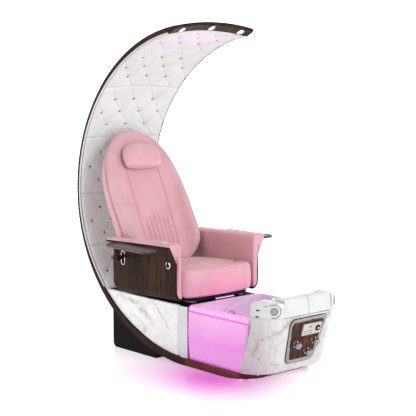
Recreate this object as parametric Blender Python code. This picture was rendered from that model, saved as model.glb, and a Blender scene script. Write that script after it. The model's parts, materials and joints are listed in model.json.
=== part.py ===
"""Pedicure spa chair: a crescent canopy over a sliding seat and a lit foot basin.

Metres, +Z up, -Y is the way the sitter faces, +X is the sitter's left.
The origin is on the floor, on the centre line, under the steel base pan.
"""
import math

import bmesh
import bpy
from mathutils import Vector

for leftover in list(bpy.data.objects):
    bpy.data.objects.remove(leftover, do_unlink=True)

# Clearances
GAP = 0.0004
RUN = 0.0008

# Base: pan, plinth, marble and basin
PAN_HEIGHT = 0.008
PAN_HALF = 0.235
PAN_FRONT = -0.60
PLINTH_THICK = 0.040
BAND_HALF = 0.312
PLINTH_FRONT = -0.662
PLINTH_CORNER = 0.16
BODY_HALF = 0.300
PANEL_THICK = 0.018
DECK_Z = 0.355
PILLAR_FRONT = -0.182
PILLAR_REAR = -0.098
PILLAR_PROUD = 0.005
BASIN_TOP = 0.366
BASIN_WALL = 0.030
BASIN_FLOOR = 0.100
BASIN_BULGE = 0.008
BASIN_CORNER = 0.035
GLASS_FRONT_LOW = -0.649
GLASS_FRONT_TOP = -0.702
HOUSING_FRONT = 0.100
HOUSING_REAR = 0.520
HOUSING_HALF = 0.305
DECK_THICK = 0.012
DECK_SETBACK = 0.030
RIB_THICK = 0.012

# Nose, deck and controls
NOSE_TOP = 0.378
NOSE_FRONT_LOW = -0.765
NOSE_FRONT_TOP = -0.868
NOSE_CORNER = 0.155
PAD_TOP = 0.480
PAD_FALL = 0.034
PAD_HALF = 0.185
SHOULDER_TOP = 0.470
PANEL_HALF_TOP = 0.150
PANEL_HALF_LOW = 0.112
PANEL_LOW = 0.098
PANEL_HIGH = 0.366
PANEL_PROUD = 0.010
BEZEL_WIDTH = 0.022
BEZEL_CORNER = 0.042
KEYPAD_X = 0.034
KEYPAD_Z = 0.294
KEYPAD_HALF = 0.074
KEYPAD_HIGH = 0.066
KEYPAD_THICK = 0.009
DIAL_X = 0.076
DIAL_Z = 0.296
DIAL_RADIUS = 0.017
KNOB_RIGHT = (-0.064, 0.215)
KNOB_MIDDLE = (0.040, 0.160)
KNOB_LEFT = (0.082, 0.217)
KNOB_RADIUS = 0.024
SPOUT_X = -0.055
SPOUT_Y = -0.684
SPOUT_TOP = 0.449
SPOUT_REACH = 0.060
SPOUT_TUBE = 0.009
JET_RADIUS = 0.050
JET_Z = 0.260

# Crescent canopy
ARC_REAR = 0.880
ARC_Z = 0.958
ARC_TOP_RISE = 1.018
ARC_TOP_REACH = 1.082
ARC_LOW_REACH = 1.052
TIP_ANGLE = 84.1
BAND_TIP = 0.027
BAND_EDGE = 0.014
BAND_MIDDLE = 0.014
DISH = 0.030
BAND_STATIONS = 8
BACKING = 0.0015
LINER_THICK = 0.016
LINER_EDGE = 0.35
LINER_INSET = 0.012
LINER_LOW = -40.5
LINER_PANELS = 6
SEAM_FIRST = 62.2
SEAM_PITCH = 21.15
TUFT_DEPTH = 0.009
TUFT_PITCH = 0.153
FASCIA_EDGE = 0.004
FASCIA_DEPTH = 0.013
FASCIA_WIDTH = 0.060
LIP_CLEAR = 0.003
LIGHT_RADIUS = 0.024
LIGHT_DEEP = 0.005
LIGHT_SPREAD = 0.232

# Seat, arms and trays
SEAT_HALF = 0.283
SEAT_FRONT = -0.170
SEAT_REAR = 0.295
SEAT_TOP = 0.553
SEAT_CROWN = 0.026
SEAT_BOW = 0.050
SEAM_X = 0.180
SEAM_SINK = 0.004
CARRIAGE_THICK = 0.018
CARRIAGE_SETBACK = 0.020
CARRIAGE_NOSE = 0.200
CARRIAGE_CUT = 0.090
RAIL_HEIGHT = 0.016
RAIL_INSET = 0.110
RAIL_WIDTH = 0.036
BAR_HALF = 0.075
BAR_DEPTH = 0.030
BAR_DROP = 0.006
ARM_INNER = 0.291
ARM_OUTER = 0.337
ARM_FLARE = 0.388
FLARE_RISE = 0.036
FLARE_SLAB = 0.022
ARM_FRONT = -0.118
ARM_REAR = 0.475
ARM_LOW = 0.378
ARM_TOP = 0.716
ARM_FOOT_SLOPE = 0.035
ARM_TOP_SLOPE = 0.0255
ARM_CROWN = 0.004
ARM_CORNER = 0.090
SKIN = 0.010
SWITCH_Y = -0.058
SWITCH_Z = 0.588
SWITCH_OUT = 0.021
SWITCH_IN = 0.014
SWITCH_TRAVEL = 0.002
REMOTE_Y = 0.020
REMOTE_LENGTH = 0.120
REMOTE_HALF = 0.015
REMOTE_THICK = 0.005
TRAY_Z = 0.672
TRAY_THICK = 0.016
TRAY_INWARD = 0.040
TRAY_OUTWARD = 0.068
TRAY_FORWARD = 0.370
TRAY_BEHIND = 0.042
TRAY_CORNER = 0.036
TRAY_PIVOT_X = 0.445
TRAY_PIVOT_Y = 0.295
TRAY_SWING_RIGHT = 2.0
TRAY_SWING_LEFT = 3.0
ARM_BAR_Y = 0.372
ARM_BAR_Z = 0.586
ARM_BAR_THICK = 0.016
ARM_BAR_HALF = 0.012
PIN_RADIUS = 0.011

# Backrest, leaning from its hinge
HINGE_Y = 0.335
HINGE_Z = 0.452
LEAN = 24.5
AXLE_RADIUS = 0.012
AXLE_HALF = 0.070
LUG_HALF = 0.040
EAR_THICK = 0.012
LUG_RADIUS = 0.026
BACK_HALF = 0.287
BACK_WIDE = 0.450
BACK_TOP = 0.965
BACK_LOW = 0.050
BACK_DEPTH = 0.105
BACK_SHOULDER = 0.700
BACK_TAPER = 0.85
WING_LOW = 0.100
WING_TOP = 0.026
PANEL_HALF = 0.130
PANEL_TOP = 0.840
PANEL_FACE = 0.026
PANEL_CROWN = 0.006
BOLSTER_FOOT = 0.035
FLUTES = 6
FLUTE_PITCH = 0.028
FLUTE_DEPTH = 0.005
FLUTE_TOP = 0.440
PILLOW_HALF = 0.150
PILLOW_LOW = 0.690
PILLOW_HIGH = 0.868


def material(name, colour, roughness, metallic=0.0):
    """Principled material shared by every piece of one finish."""
    found = bpy.data.materials.get(name)
    if found:
        return found
    made = bpy.data.materials.new(name)
    made.use_nodes = True
    shader = made.node_tree.nodes["Principled BSDF"]
    shader.inputs["Base Color"].default_value = (*colour, 1.0)
    shader.inputs["Roughness"].default_value = roughness
    shader.inputs["Metallic"].default_value = metallic
    return made


def pink():
    return material("pink_leather", (0.78, 0.42, 0.47), 0.5)


def white_leather():
    return material("white_leather", (0.85, 0.84, 0.83), 0.5)


def walnut():
    return material("walnut", (0.09, 0.045, 0.028), 0.35)


def marble():
    return material("marble", (0.84, 0.82, 0.80), 0.2)


def white_gloss():
    return material("white_gloss", (0.86, 0.86, 0.86), 0.25)


def chrome():
    return material("chrome", (0.78, 0.78, 0.80), 0.08, 1.0)


def black_steel():
    return material("black_steel", (0.03, 0.03, 0.032), 0.5, 0.6)


def black_plastic():
    return material("black_plastic", (0.02, 0.02, 0.022), 0.45)


def glow_glass():
    return material("glow_glass", (0.86, 0.30, 0.78), 0.15)


def rail_steel():
    return material("rail_steel", (0.55, 0.55, 0.57), 0.3, 1.0)


def tray_plastic():
    return material("tray_plastic", (0.06, 0.06, 0.065), 0.2)


def solid(name, points, faces, finish, origin=(0.0, 0.0, 0.0)):
    """One closed mesh object whose origin sits at the given point."""
    mesh = bpy.data.meshes.new(name)
    home = Vector(origin)
    mesh.from_pydata([Vector(p) - home for p in points], [], faces)
    work = bmesh.new()
    work.from_mesh(mesh)
    bmesh.ops.recalc_face_normals(work, faces=work.faces)
    work.to_mesh(mesh)
    work.free()
    mesh.materials.append(finish)
    mesh.shade_smooth()
    mesh.set_sharp_from_angle(angle=math.radians(35.0))
    made = bpy.data.objects.new(name, mesh)
    made.location = home
    bpy.context.scene.collection.objects.link(made)
    return made


def loft(name, rings, finish, origin=(0.0, 0.0, 0.0), closed=False):
    """Skin a row of equal rings; the ends are capped unless the row closes on itself."""
    count = len(rings[0])
    points = [p for ring in rings for p in ring]
    faces = []
    spans = len(rings) if closed else len(rings) - 1
    for row in range(spans):
        here = row * count
        there = (row + 1) % len(rings) * count
        for i in range(count):
            j = (i + 1) % count
            faces.append((here + i, here + j, there + j, there + i))
    if not closed:
        faces.append(tuple(range(count)))
        faces.append(tuple(range(len(points) - count, len(points))))
    return solid(name, points, faces, finish, origin)


def slab(name, front, back, finish, origin=(0.0, 0.0, 0.0)):
    """Close a fine front grid against a coarser back grid that shares its border."""
    rows, cols = len(front), len(front[0])
    back_rows, back_cols = len(back), len(back[0])
    row_step = (rows - 1) // (back_rows - 1)
    col_step = (cols - 1) // (back_cols - 1)
    points = [p for row in front for p in row] + [p for row in back for p in row]
    base = rows * cols
    faces = []
    for r in range(rows - 1):
        for c in range(cols - 1):
            a = r * cols + c
            faces.append((a, a + 1, a + cols + 1, a + cols))
    for r in range(back_rows - 1):
        for c in range(back_cols - 1):
            a = base + r * back_cols + c
            faces.append((a, a + 1, a + back_cols + 1, a + back_cols))
    for r, far in ((0, 0), (rows - 1, back_rows - 1)):
        for c in range(back_cols - 1):
            edge = [r * cols + c * col_step + k for k in range(col_step + 1)]
            faces.append((*edge, base + far * back_cols + c + 1, base + far * back_cols + c))
    for c, far in ((0, 0), (cols - 1, back_cols - 1)):
        for r in range(back_rows - 1):
            edge = [(r * row_step + k) * cols + c for k in range(row_step + 1)]
            faces.append((*edge, base + (r + 1) * back_cols + far, base + r * back_cols + far))
    return solid(name, points, faces, finish, origin)


def rounded(half_x, half_y, radius, steps=4):
    """Counter-clockwise rounded rectangle about the origin."""
    outline = []
    corners = ((1, 1, 0), (-1, 1, 90), (-1, -1, 180), (1, -1, 270))
    for sx, sy, start in corners:
        for k in range(steps + 1):
            turn = math.radians(start + 90.0 * k / steps)
            outline.append((sx * (half_x - radius) + radius * math.cos(turn),
                            sy * (half_y - radius) + radius * math.sin(turn)))
    return outline


def circle(radius, sides):
    """Counter-clockwise circle about the origin."""
    return [(radius * math.cos(2 * math.pi * k / sides), radius * math.sin(2 * math.pi * k / sides))
            for k in range(sides)]


def turned(name, profile, centre, axis, finish, sides=20):
    """Turn a profile of (radius, height) pairs about an axis; both ends are capped."""
    up = Vector(axis).normalized()
    side = up.orthogonal().normalized()
    other = up.cross(side)
    home = Vector(centre)
    rings = []
    for radius, height in profile:
        rings.append([home + side * u + other * v + up * height for u, v in circle(radius, sides)])
    return loft(name, rings, finish, centre)


def combine(target, tool, operation):
    """Join or subtract a hidden tool shape."""
    tool.hide_render = True
    tool.display_type = "WIRE"
    step = target.modifiers.new(operation.lower() + "_" + tool.name, "BOOLEAN")
    step.operation = operation
    step.object = tool
    return target


def cut(target, tool):
    return combine(target, tool, "DIFFERENCE")


def join(target, tool):
    return combine(target, tool, "UNION")


def smooth(value):
    """Ease from 0 to 1 with flat ends."""
    value = min(max(value, 0.0), 1.0)
    return value * value * (3.0 - 2.0 * value)


def blend(low, high, share):
    return low + (high - low) * share


def signed_power(value, power):
    return math.copysign(abs(value) ** power, value)


def fillet(corners, radius, steps=4):
    """Round every corner of a convex outline of (u, v) pairs with a true arc."""
    outline = []
    count = len(corners)
    for i in range(count):
        here = Vector((*corners[i], 0.0))
        before = (Vector((*corners[i - 1], 0.0)) - here).normalized()
        after = (Vector((*corners[(i + 1) % count], 0.0)) - here).normalized()
        half = before.angle(after) / 2
        centre = here + (before + after).normalized() * radius / math.sin(half)
        start = here + before * radius / math.tan(half) - centre
        finish = here + after * radius / math.tan(half) - centre
        sweep = start.angle(finish)
        for k in range(steps + 1):
            share = k / steps
            spoke = start * math.sin((1 - share) * sweep) + finish * math.sin(share * sweep)
            point = centre + spoke / math.sin(sweep)
            outline.append((point.x, point.y))
    return outline


# Sizes that follow from the driving sizes
PLINTH_TOP = PAN_HEIGHT + PLINTH_THICK
PAN_REAR = HOUSING_FRONT - GAP
PLINTH_REAR = ARC_REAR - ARC_LOW_REACH
INNER_HALF = BODY_HALF - PANEL_THICK
RAIL_X = BODY_HALF - RAIL_INSET
CARRIAGE_LOW = DECK_Z + RAIL_HEIGHT + RUN
CARRIAGE_TOP = CARRIAGE_LOW + CARRIAGE_THICK
FLARE_ROOT = ARM_TOP - FLARE_RISE - FLARE_SLAB
LIP_ANGLE = math.degrees(FASCIA_WIDTH / ARC_TOP_REACH)
LINER_TOP = TIP_ANGLE - math.degrees((FASCIA_WIDTH + LIP_CLEAR) / ARC_TOP_REACH)


def arc_point(angle):
    """Outer profile of the crescent: 90 is the top, 0 the rear, -90 the floor."""
    turn = math.radians(angle)
    reach = ARC_TOP_REACH if angle >= 0 else ARC_LOW_REACH
    rise = ARC_TOP_RISE if angle >= 0 else ARC_Z - PAN_HEIGHT
    place = Vector((0.0, ARC_REAR - reach + reach * math.cos(turn), ARC_Z + rise * math.sin(turn)))
    outward = Vector((0.0, math.cos(turn) / reach, math.sin(turn) / rise)).normalized()
    return place, outward


def band_thickness(angle):
    """The band is slim behind the sitter, stouter above and below, and thin at its front edge."""
    if angle >= 0:
        stout = blend(BAND_MIDDLE, BAND_TIP, smooth(angle / TIP_ANGLE))
        return blend(BAND_EDGE, stout, min((TIP_ANGLE - angle) / LIP_ANGLE, 1.0))
    return blend(BAND_MIDDLE, PLINTH_THICK, smooth(-angle / 70.0))


def band_point(x, angle, depth):
    """A point of the dished band, a depth inside its outer face."""
    place, outward = arc_point(angle)
    dish = DISH * smooth((angle + 10.0) / 60.0) * (1.0 - (x / BAND_HALF) ** 2)
    point = place + outward * (dish - depth)
    return Vector((x, point.y, point.z))


def band_columns():
    """Stations across the dished band."""
    return [BAND_HALF * (2.0 * k / BAND_STATIONS - 1.0) for k in range(BAND_STATIONS + 1)]


def crescent_shell():
    columns = band_columns()
    steps = 56
    rings = []
    for k in range(steps + 1):
        angle = blend(TIP_ANGLE, -90.0, k / steps)
        outer = [band_point(x, angle, 0.0) for x in columns]
        inner = [band_point(x, angle, band_thickness(angle)) for x in reversed(columns)]
        rings.append(outer + inner)
    return loft("crescent_shell", rings, walnut())


def liner_seam(index):
    """Angle of the seam above a panel; the end panels take up what the pitch leaves."""
    if index == 0:
        return LINER_TOP
    if index == LINER_PANELS:
        return LINER_LOW
    return SEAM_FIRST - (index - 1) * SEAM_PITCH


def liner_panel(index):
    """One upholstered panel of the liner, sewn down at a 3-4-3 diamond of buttons."""
    seam = math.degrees(GAP)
    top, low = liner_seam(index) - seam, liner_seam(index + 1) + seam
    cols, rows = 16, 8
    half = BAND_HALF - LINER_INSET
    front, back = [], []
    for r in range(rows + 1):
        v = r / rows
        angle = blend(top, low, v)
        row = []
        for c in range(cols + 1):
            x = half * (2.0 * c / cols - 1.0)
            rim = min(smooth(v / 0.10), smooth((1.0 - v) / 0.10), smooth((half - abs(x)) / LINER_THICK))
            pad = liner_height(x, v) * blend(LINER_EDGE, 1.0, rim)
            row.append(band_point(x, angle, band_thickness(angle) + BACKING + pad))
        front.append(row)
    for r in range(0, rows + 1, 2):
        angle = blend(top, low, r / rows)
        back.append([band_point(half * (2.0 * c / cols - 1.0), angle, band_thickness(angle) + BACKING)
                     for c in range(0, cols + 1, 2)])
    return slab("liner_panel_%d" % (index + 1), front, back, white_leather())


def liner_height(x, v):
    """Pad height: low at each button, falling along the pleats between them."""
    near = 1.0
    for row, shift in ((0.25, 0.0), (0.50, 0.5), (0.75, 0.0)):
        column = x / TUFT_PITCH - shift
        side = column - round(column)
        if shift == 0.0 and abs(column - side) > 1.5:
            continue
        reach = math.hypot(side / 0.5, (v - row) / 0.25)
        near = min(near, reach)
    return LINER_THICK - TUFT_DEPTH * (1.0 - smooth(near))


def lip_section(x):
    """Section of the lip at one x: top front, low front, low rear and top rear corners."""
    near, far = TIP_ANGLE, TIP_ANGLE - LIP_ANGLE
    front, rear = band_thickness(near) + BACKING / 2, band_thickness(far) + BACKING / 2
    return [band_point(x, near, front), band_point(x, near, front + FASCIA_EDGE),
            band_point(x, far, rear + FASCIA_DEPTH), band_point(x, far, rear)]


def canopy_fascia():
    """Walnut lip whose slanted face closes the front of the canopy and carries the lights."""
    piece = loft("canopy_fascia", [lip_section(x) for x in band_columns()], walnut())
    for k, x in enumerate((-LIGHT_SPREAD, 0.0, LIGHT_SPREAD)):
        seat, down = light_seat(x)
        profile = ((LIGHT_RADIUS + GAP, -2 * FASCIA_DEPTH), (LIGHT_RADIUS + GAP, FASCIA_DEPTH))
        cut(piece, turned("light_drill_%d" % k, profile, seat, down, walnut(), 20))
    return piece


def light_seat(x):
    """Centre and outward axis of a light on the slanted face of the lip."""
    _, front, rear, _ = lip_section(x)
    along = lip_section(x + LIGHT_RADIUS)[2] - lip_section(x - LIGHT_RADIUS)[2]
    return (front + rear) / 2, along.cross(front - rear).normalized()


def downlight(name, x):
    """Round chrome light let into the canopy's front lip."""
    seat, down = light_seat(x)
    r = LIGHT_RADIUS
    profile = ((r, -LIGHT_DEEP), (r, 0.003), (0.86 * r, 0.005), (0.72 * r, 0.002))
    return turned(name, profile, seat, down, chrome(), 20)


def base_pan():
    outline = rounded(PAN_HALF, (PAN_REAR - PAN_FRONT) / 2, 0.02, 3)
    middle = (PAN_REAR + PAN_FRONT) / 2
    rings = [[(x, middle + y, z) for x, y in outline] for z in (0.0, PAN_HEIGHT - GAP)]
    return loft("base_pan", rings, black_steel())


def plinth_outline(inset):
    """Floor board: square at the rear, rounded at the front corners."""
    half = BAND_HALF - inset
    front = PLINTH_FRONT + inset
    radius = PLINTH_CORNER - inset
    outline = [(half, PLINTH_REAR - GAP)]
    for start, side in ((0.0, 1.0), (-90.0, -1.0)):
        for k in range(7):
            turn = math.radians(start - 15.0 * k)
            outline.append((side * (half - radius) + radius * math.cos(turn),
                            front + radius + radius * math.sin(turn)))
    outline.append((-half, PLINTH_REAR - GAP))
    return outline


def plinth():
    edge = 0.004
    levels = ((PAN_HEIGHT, edge / 2), (PAN_HEIGHT + edge / 2, 0.0),
              (PLINTH_TOP - edge, 0.0), (PLINTH_TOP, edge))
    rings = [[(x, y, z) for x, y in plinth_outline(inset)] for z, inset in levels]
    return loft("plinth", rings, walnut())


def inner_arc_angle(y):
    """Angle of the lower arc whose inner face lies at a given y."""
    low, high = -90.0, 0.0
    for _ in range(40):
        middle = (low + high) / 2
        if band_point(BAND_HALF, middle, band_thickness(middle)).y < y:
            low = middle
        else:
            high = middle
    return low


def floor_z(y):
    """Top of the floor board, or of the crescent's foot behind it."""
    if y <= PLINTH_REAR:
        return PLINTH_TOP
    angle = inner_arc_angle(y)
    return band_point(BAND_HALF, angle, band_thickness(angle)).z


def deck_arc_angle(drop):
    """Angle where the inner face of the band meets a level below the deck."""
    low, high = -85.0, -5.0
    for _ in range(40):
        middle = (low + high) / 2
        point = band_point(BAND_HALF, middle, band_thickness(middle))
        if point.z < DECK_Z - drop:
            low = middle
        else:
            high = middle
    return low


def base_side(front, drop):
    """Side view of the rear base: pillar line, crescent curve and flat deck."""
    first, last = inner_arc_angle(front), deck_arc_angle(drop)
    steps = 10
    outline = [(front, DECK_Z - drop)]
    for k in range(steps + 1):
        angle = blend(first, last, k / steps)
        point = band_point(BAND_HALF, angle, band_thickness(angle) + RUN)
        outline.append((point.y, min(point.z, DECK_Z - drop)))
    return outline


def plate(name, outline, near, far, finish):
    """Upright plate cut from a side outline between two x positions."""
    rings = [[(x, y, z) for y, z in outline] for x in (near, far)]
    return loft(name, rings, finish)


def side_panel(name, side):
    """Marble side between the deck and the crescent's foot, its outer edge eased."""
    outline = base_side(PILLAR_REAR + GAP, 0.0)
    edge = 0.004
    inner = [(side * INNER_HALF, y, z) for y, z in outline]
    outer = [(side * (BODY_HALF - edge), y, z) for y, z in outline]
    middle = Vector((sum(p[0] for p in outline) / len(outline), sum(p[1] for p in outline) / len(outline)))
    face = []
    for y, z in outline:
        pull = (middle - Vector((y, z))).normalized() * edge
        face.append((side * BODY_HALF, y + pull.x, z + pull.y))
    return loft(name, [inner, outer, face], marble())


def pillar(name, side):
    """Chrome upright between the marble and the lit glass."""
    crown = [BODY_HALF + PILLAR_PROUD * math.sin(math.pi * k / 4) for k in range(5)]
    section = [(INNER_HALF + GAP, PILLAR_FRONT + GAP), (INNER_HALF + GAP, PILLAR_REAR - GAP)]
    for k in range(5):
        section.append((crown[k], blend(PILLAR_REAR - GAP, PILLAR_FRONT + GAP, k / 4)))
    low = [(side * x, y, floor_z(y) + RUN) for x, y in section]
    high = [(side * x, y, DECK_Z - GAP) for x, y in section]
    return loft(name, [low, high], chrome())


def seat_deck():
    """Shelf over the ribs, which the seat rails are screwed to."""
    angle = deck_arc_angle(0.0)
    rear = band_point(BAND_HALF, angle, band_thickness(angle)).y - DECK_SETBACK
    front = PILLAR_FRONT + GAP
    low = DECK_Z - DECK_THICK
    outline = [(front, DECK_Z), (rear, DECK_Z), (rear, low), (front, low)]
    return plate("seat_deck", outline, GAP - INNER_HALF, INNER_HALF - GAP, black_plastic())


def frame_rib(name, side):
    """Plywood rib that stands on the floor board and carries the deck."""
    outline = base_side(PILLAR_FRONT + 2 * GAP, DECK_THICK + GAP)
    far = INNER_HALF - GAP
    return plate(name, outline, side * (far - RIB_THICK), side * far, black_plastic())


def rear_housing():
    """Black service box behind the crescent's foot, standing on the floor."""
    corner = 0.03
    curve = []
    steps = 8
    for k in range(steps + 1):
        y = blend(HOUSING_REAR, HOUSING_FRONT, k / steps)
        share = min((y - PLINTH_REAR) / ARC_LOW_REACH, 1.0)
        curve.append((y, ARC_Z - (ARC_Z - PAN_HEIGHT) * math.sqrt(1.0 - share * share) - 3 * GAP))
    floor = [(HOUSING_FRONT, 0.0)]
    for k in range(5):
        turn = math.radians(-90.0 + 22.5 * k)
        floor.append((HOUSING_REAR - corner + corner * math.cos(turn), corner + corner * math.sin(turn)))
    return plate("rear_housing", floor + curve, -HOUSING_HALF, HOUSING_HALF, black_plastic())


def glass_front(z):
    """Raked joint between the lit basin and the marble nose."""
    return blend(GLASS_FRONT_LOW, GLASS_FRONT_TOP, (z - PLINTH_TOP) / (BASIN_TOP - PLINTH_TOP))


def basin_ring(z, half, inset, corner):
    rear = PILLAR_FRONT - GAP - inset
    front = glass_front(z) + inset
    outline = rounded(half - inset, (rear - front) / 2, corner, 4)
    return [(x, (rear + front) / 2 + y, z) for x, y in outline]


def basin():
    """Lit foot basin: barrel sides, a rolled rim and a dished floor."""
    low, lip = PLINTH_TOP + GAP, 0.006
    middle = (low + BASIN_TOP) / 2
    wall = BASIN_WALL
    small = BASIN_CORNER / 2
    rings = [basin_ring(low, BODY_HALF - BASIN_BULGE, 0.0, small),
             basin_ring(blend(low, middle, 0.5), BODY_HALF, 0.0, small),
             basin_ring(middle, BODY_HALF + BASIN_BULGE / 2, 0.0, small),
             basin_ring(BASIN_TOP - wall, BODY_HALF, 0.0, small),
             basin_ring(BASIN_TOP - lip, BODY_HALF - lip, 0.0, small),
             basin_ring(BASIN_TOP, BODY_HALF - lip, lip, small),
             basin_ring(BASIN_TOP, BODY_HALF - lip, wall - lip, BASIN_CORNER),
             basin_ring(BASIN_TOP - lip, BODY_HALF - lip, wall, BASIN_CORNER),
             basin_ring(middle, BODY_HALF, wall, BASIN_CORNER),
             basin_ring(BASIN_FLOOR + wall, BODY_HALF, wall + lip, BASIN_CORNER),
             basin_ring(BASIN_FLOOR, BODY_HALF, 2 * wall, BASIN_CORNER)]
    return loft("basin", rings, glow_glass())


def nose_front(z):
    return blend(NOSE_FRONT_LOW, NOSE_FRONT_TOP, (z - PLINTH_TOP) / (NOSE_TOP - PLINTH_TOP))


def nose_ring(z, inset):
    """Plan of the nose at a height: flat joint behind, big round corners in front."""
    half = BODY_HALF - inset
    front = nose_front(z) + inset
    rear = glass_front(z) - GAP
    outline = [(half, rear)]
    for start, side in ((0.0, 1.0), (-90.0, -1.0)):
        for k in range(7):
            turn = math.radians(start - 15.0 * k)
            outline.append((side * (BODY_HALF - NOSE_CORNER) + (NOSE_CORNER - inset) * math.cos(turn),
                            front + NOSE_CORNER - inset + (NOSE_CORNER - inset) * math.sin(turn)))
    outline.append((-half, rear))
    return [(x, y, z) for x, y in outline]


def nose_shell():
    """Marble bow that leans out over the plinth."""
    edge = 0.006
    levels = ((PLINTH_TOP + GAP, 2 * edge), (PLINTH_TOP + 2 * edge, edge / 2), (PLINTH_TOP + 5 * edge, 0.0),
              ((PLINTH_TOP + NOSE_TOP) / 2, 0.0), (NOSE_TOP - edge, 0.0), (NOSE_TOP, edge / 2))
    return loft("nose_shell", [nose_ring(z, inset) for z, inset in levels], marble())


def shoulder(name, side):
    """White housing over one front corner of the nose, rounded over at the top."""
    middle_x = BODY_HALF - NOSE_CORNER
    middle_y = NOSE_FRONT_TOP + NOSE_CORNER
    rear = GLASS_FRONT_TOP - GAP
    edge = 0.026
    levels = ((NOSE_TOP + GAP, 0.004), (NOSE_TOP + edge / 2, 0.0), (SHOULDER_TOP - edge, 0.002),
              (SHOULDER_TOP - edge / 3, 0.009), (SHOULDER_TOP, edge))
    rings = []
    for z, inset in levels:
        inner = PAD_HALF + GAP + inset
        radius = NOSE_CORNER - inset
        last = -math.acos((inner - middle_x) / radius)
        ring = [(side * inner, rear - inset, z), (side * (BODY_HALF - inset), rear - inset, z)]
        for k in range(9):
            turn = last * k / 8
            ring.append((side * (middle_x + radius * math.cos(turn)), middle_y + radius * math.sin(turn), z))
        rings.append(ring)
    return loft(name, rings, white_gloss())


def footrest_pad(name, side):
    """One of the two padded halves of the footrest across the front of the nose."""
    low = NOSE_TOP + GAP
    front, rear = NOSE_FRONT_TOP + 0.004, GLASS_FRONT_TOP - GAP
    corners = ((rear, low), (front, low), (front + 0.012, PAD_TOP), (rear, PAD_TOP - PAD_FALL))
    columns = ((0.0, 0.006), (0.004, 0.001), (0.03, 0.0), (0.5, -0.002),
               (0.97, 0.0), (0.996, 0.001), (1.0, 0.006))
    rings = []
    for share, inset in columns:
        x = side * blend(GAP, PAD_HALF, share)
        ring = []
        for y, z in fillet(corners, 0.022, 4):
            pull = smooth((z - low) / 0.03)
            ring.append((x, blend(y, (front + rear) / 2, inset * pull * 10), z - inset * pull))
        rings.append(ring)
    return loft(name, rings, white_leather())


FACE_OUT = Vector((0.0, PLINTH_TOP - NOSE_TOP, NOSE_FRONT_TOP - NOSE_FRONT_LOW)).normalized()
PLATE_OUT = PANEL_PROUD * 0.5
KEYPAD_OUT = PLATE_OUT + GAP + KEYPAD_THICK


def face_point(x, z, out):
    """A point above the nose's slanted front face."""
    return Vector((x, nose_front(z), z)) + FACE_OUT * out


def panel_outline(inset):
    low, high = PANEL_LOW + inset, PANEL_HIGH - inset
    bottom, top = PANEL_HALF_LOW - inset, PANEL_HALF_TOP - inset
    corners = ((-bottom, low), (bottom, low), (top, high), (-top, high))
    return fillet(corners, BEZEL_CORNER - inset, 5)


def control_bezel():
    """Chrome frame with a rounded crown round the control plate."""
    outer, ridge, inner = panel_outline(0.0), panel_outline(BEZEL_WIDTH / 2), panel_outline(BEZEL_WIDTH)
    rings = []
    for k in range(len(outer)):
        rings.append([face_point(*outer[k], GAP), face_point(*outer[k], PANEL_PROUD * 0.6),
                      face_point(*ridge[k], PANEL_PROUD), face_point(*inner[k], PANEL_PROUD * 0.6),
                      face_point(*inner[k], GAP)])
    return loft("control_bezel", rings, chrome(), closed=True)


def control_plate():
    outline = panel_outline(BEZEL_WIDTH + GAP)
    rings = [[face_point(x, z, out) for x, z in outline] for out in (GAP, PLATE_OUT)]
    return loft("control_plate", rings, walnut())


def keypad():
    outline = rounded(KEYPAD_HALF, KEYPAD_HIGH / 2, 0.006, 3)
    levels = ((PLATE_OUT + GAP, 1.0), (KEYPAD_OUT - 0.002, 1.0), (KEYPAD_OUT, 0.96))
    rings = [[face_point(KEYPAD_X + x * grow, KEYPAD_Z + z * grow, out) for x, z in outline]
             for out, grow in levels]
    return loft("keypad", rings, material("keypad_silver", (0.62, 0.58, 0.55), 0.35))


def keypad_dial():
    r = DIAL_RADIUS
    profile = ((r, 0.0), (r, 0.005), (0.88 * r, 0.008), (0.55 * r, 0.008), (0.45 * r, 0.006))
    return turned("keypad_dial", profile, face_point(DIAL_X, DIAL_Z, KEYPAD_OUT + GAP), FACE_OUT,
                  black_plastic(), 20)


def valve_knob(name, x, z):
    """Fluted chrome knob on its stem, standing off the control plate."""
    home = face_point(x, z, PLATE_OUT + GAP)
    up = FACE_OUT
    side = Vector((1.0, 0.0, 0.0))
    other = up.cross(side)
    r = KNOB_RADIUS
    levels = ((0.92 * r, 0.0, 0.0), (0.86 * r, 0.004, 0.0), (0.45 * r, 0.006, 0.0),
              (0.45 * r, 0.014, 0.0), (0.82 * r, 0.017, 0.14), (0.90 * r, 0.024, 0.16),
              (0.72 * r, 0.033, 0.10), (0.30 * r, 0.036, 0.0))
    rings = []
    sides = 20
    for radius, height, flute in levels:
        ring = []
        for k in range(sides):
            turn = 2 * math.pi * k / sides
            grow = radius * (1.0 + flute * math.cos(5 * turn))
            ring.append(home + side * grow * math.cos(turn) + other * grow * math.sin(turn) + up * height)
        rings.append(ring)
    return loft(name, rings, chrome(), home)


def spout():
    """Low swan-neck filler spout that swings over the basin on its flange."""
    low = BASIN_TOP + GAP
    bend = SPOUT_REACH / 2
    neck = SPOUT_TOP - SPOUT_TUBE - bend
    stand = Vector((0, 0, 1))
    flange = 1.5 * SPOUT_TUBE
    stem = ((low, flange), (low + 0.006, flange), (low + 0.009, SPOUT_TUBE), (neck, SPOUT_TUBE))
    path = [(Vector((SPOUT_X, SPOUT_Y, z)), stand, radius) for z, radius in stem]
    for k in range(1, 9):
        turn = math.pi * 0.9 * k / 8
        place = Vector((SPOUT_X, SPOUT_Y + bend - bend * math.cos(turn), neck + bend * math.sin(turn)))
        path.append((place, Vector((0, math.sin(turn), math.cos(turn))), SPOUT_TUBE))
    side = Vector((1, 0, 0))
    rings = []
    for place, aim, radius in path:
        other = aim.cross(side)
        rings.append([place + side * u + other * v for u, v in circle(radius, 12)])
    return loft("spout", rings, chrome(), (SPOUT_X, SPOUT_Y, low))


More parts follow.
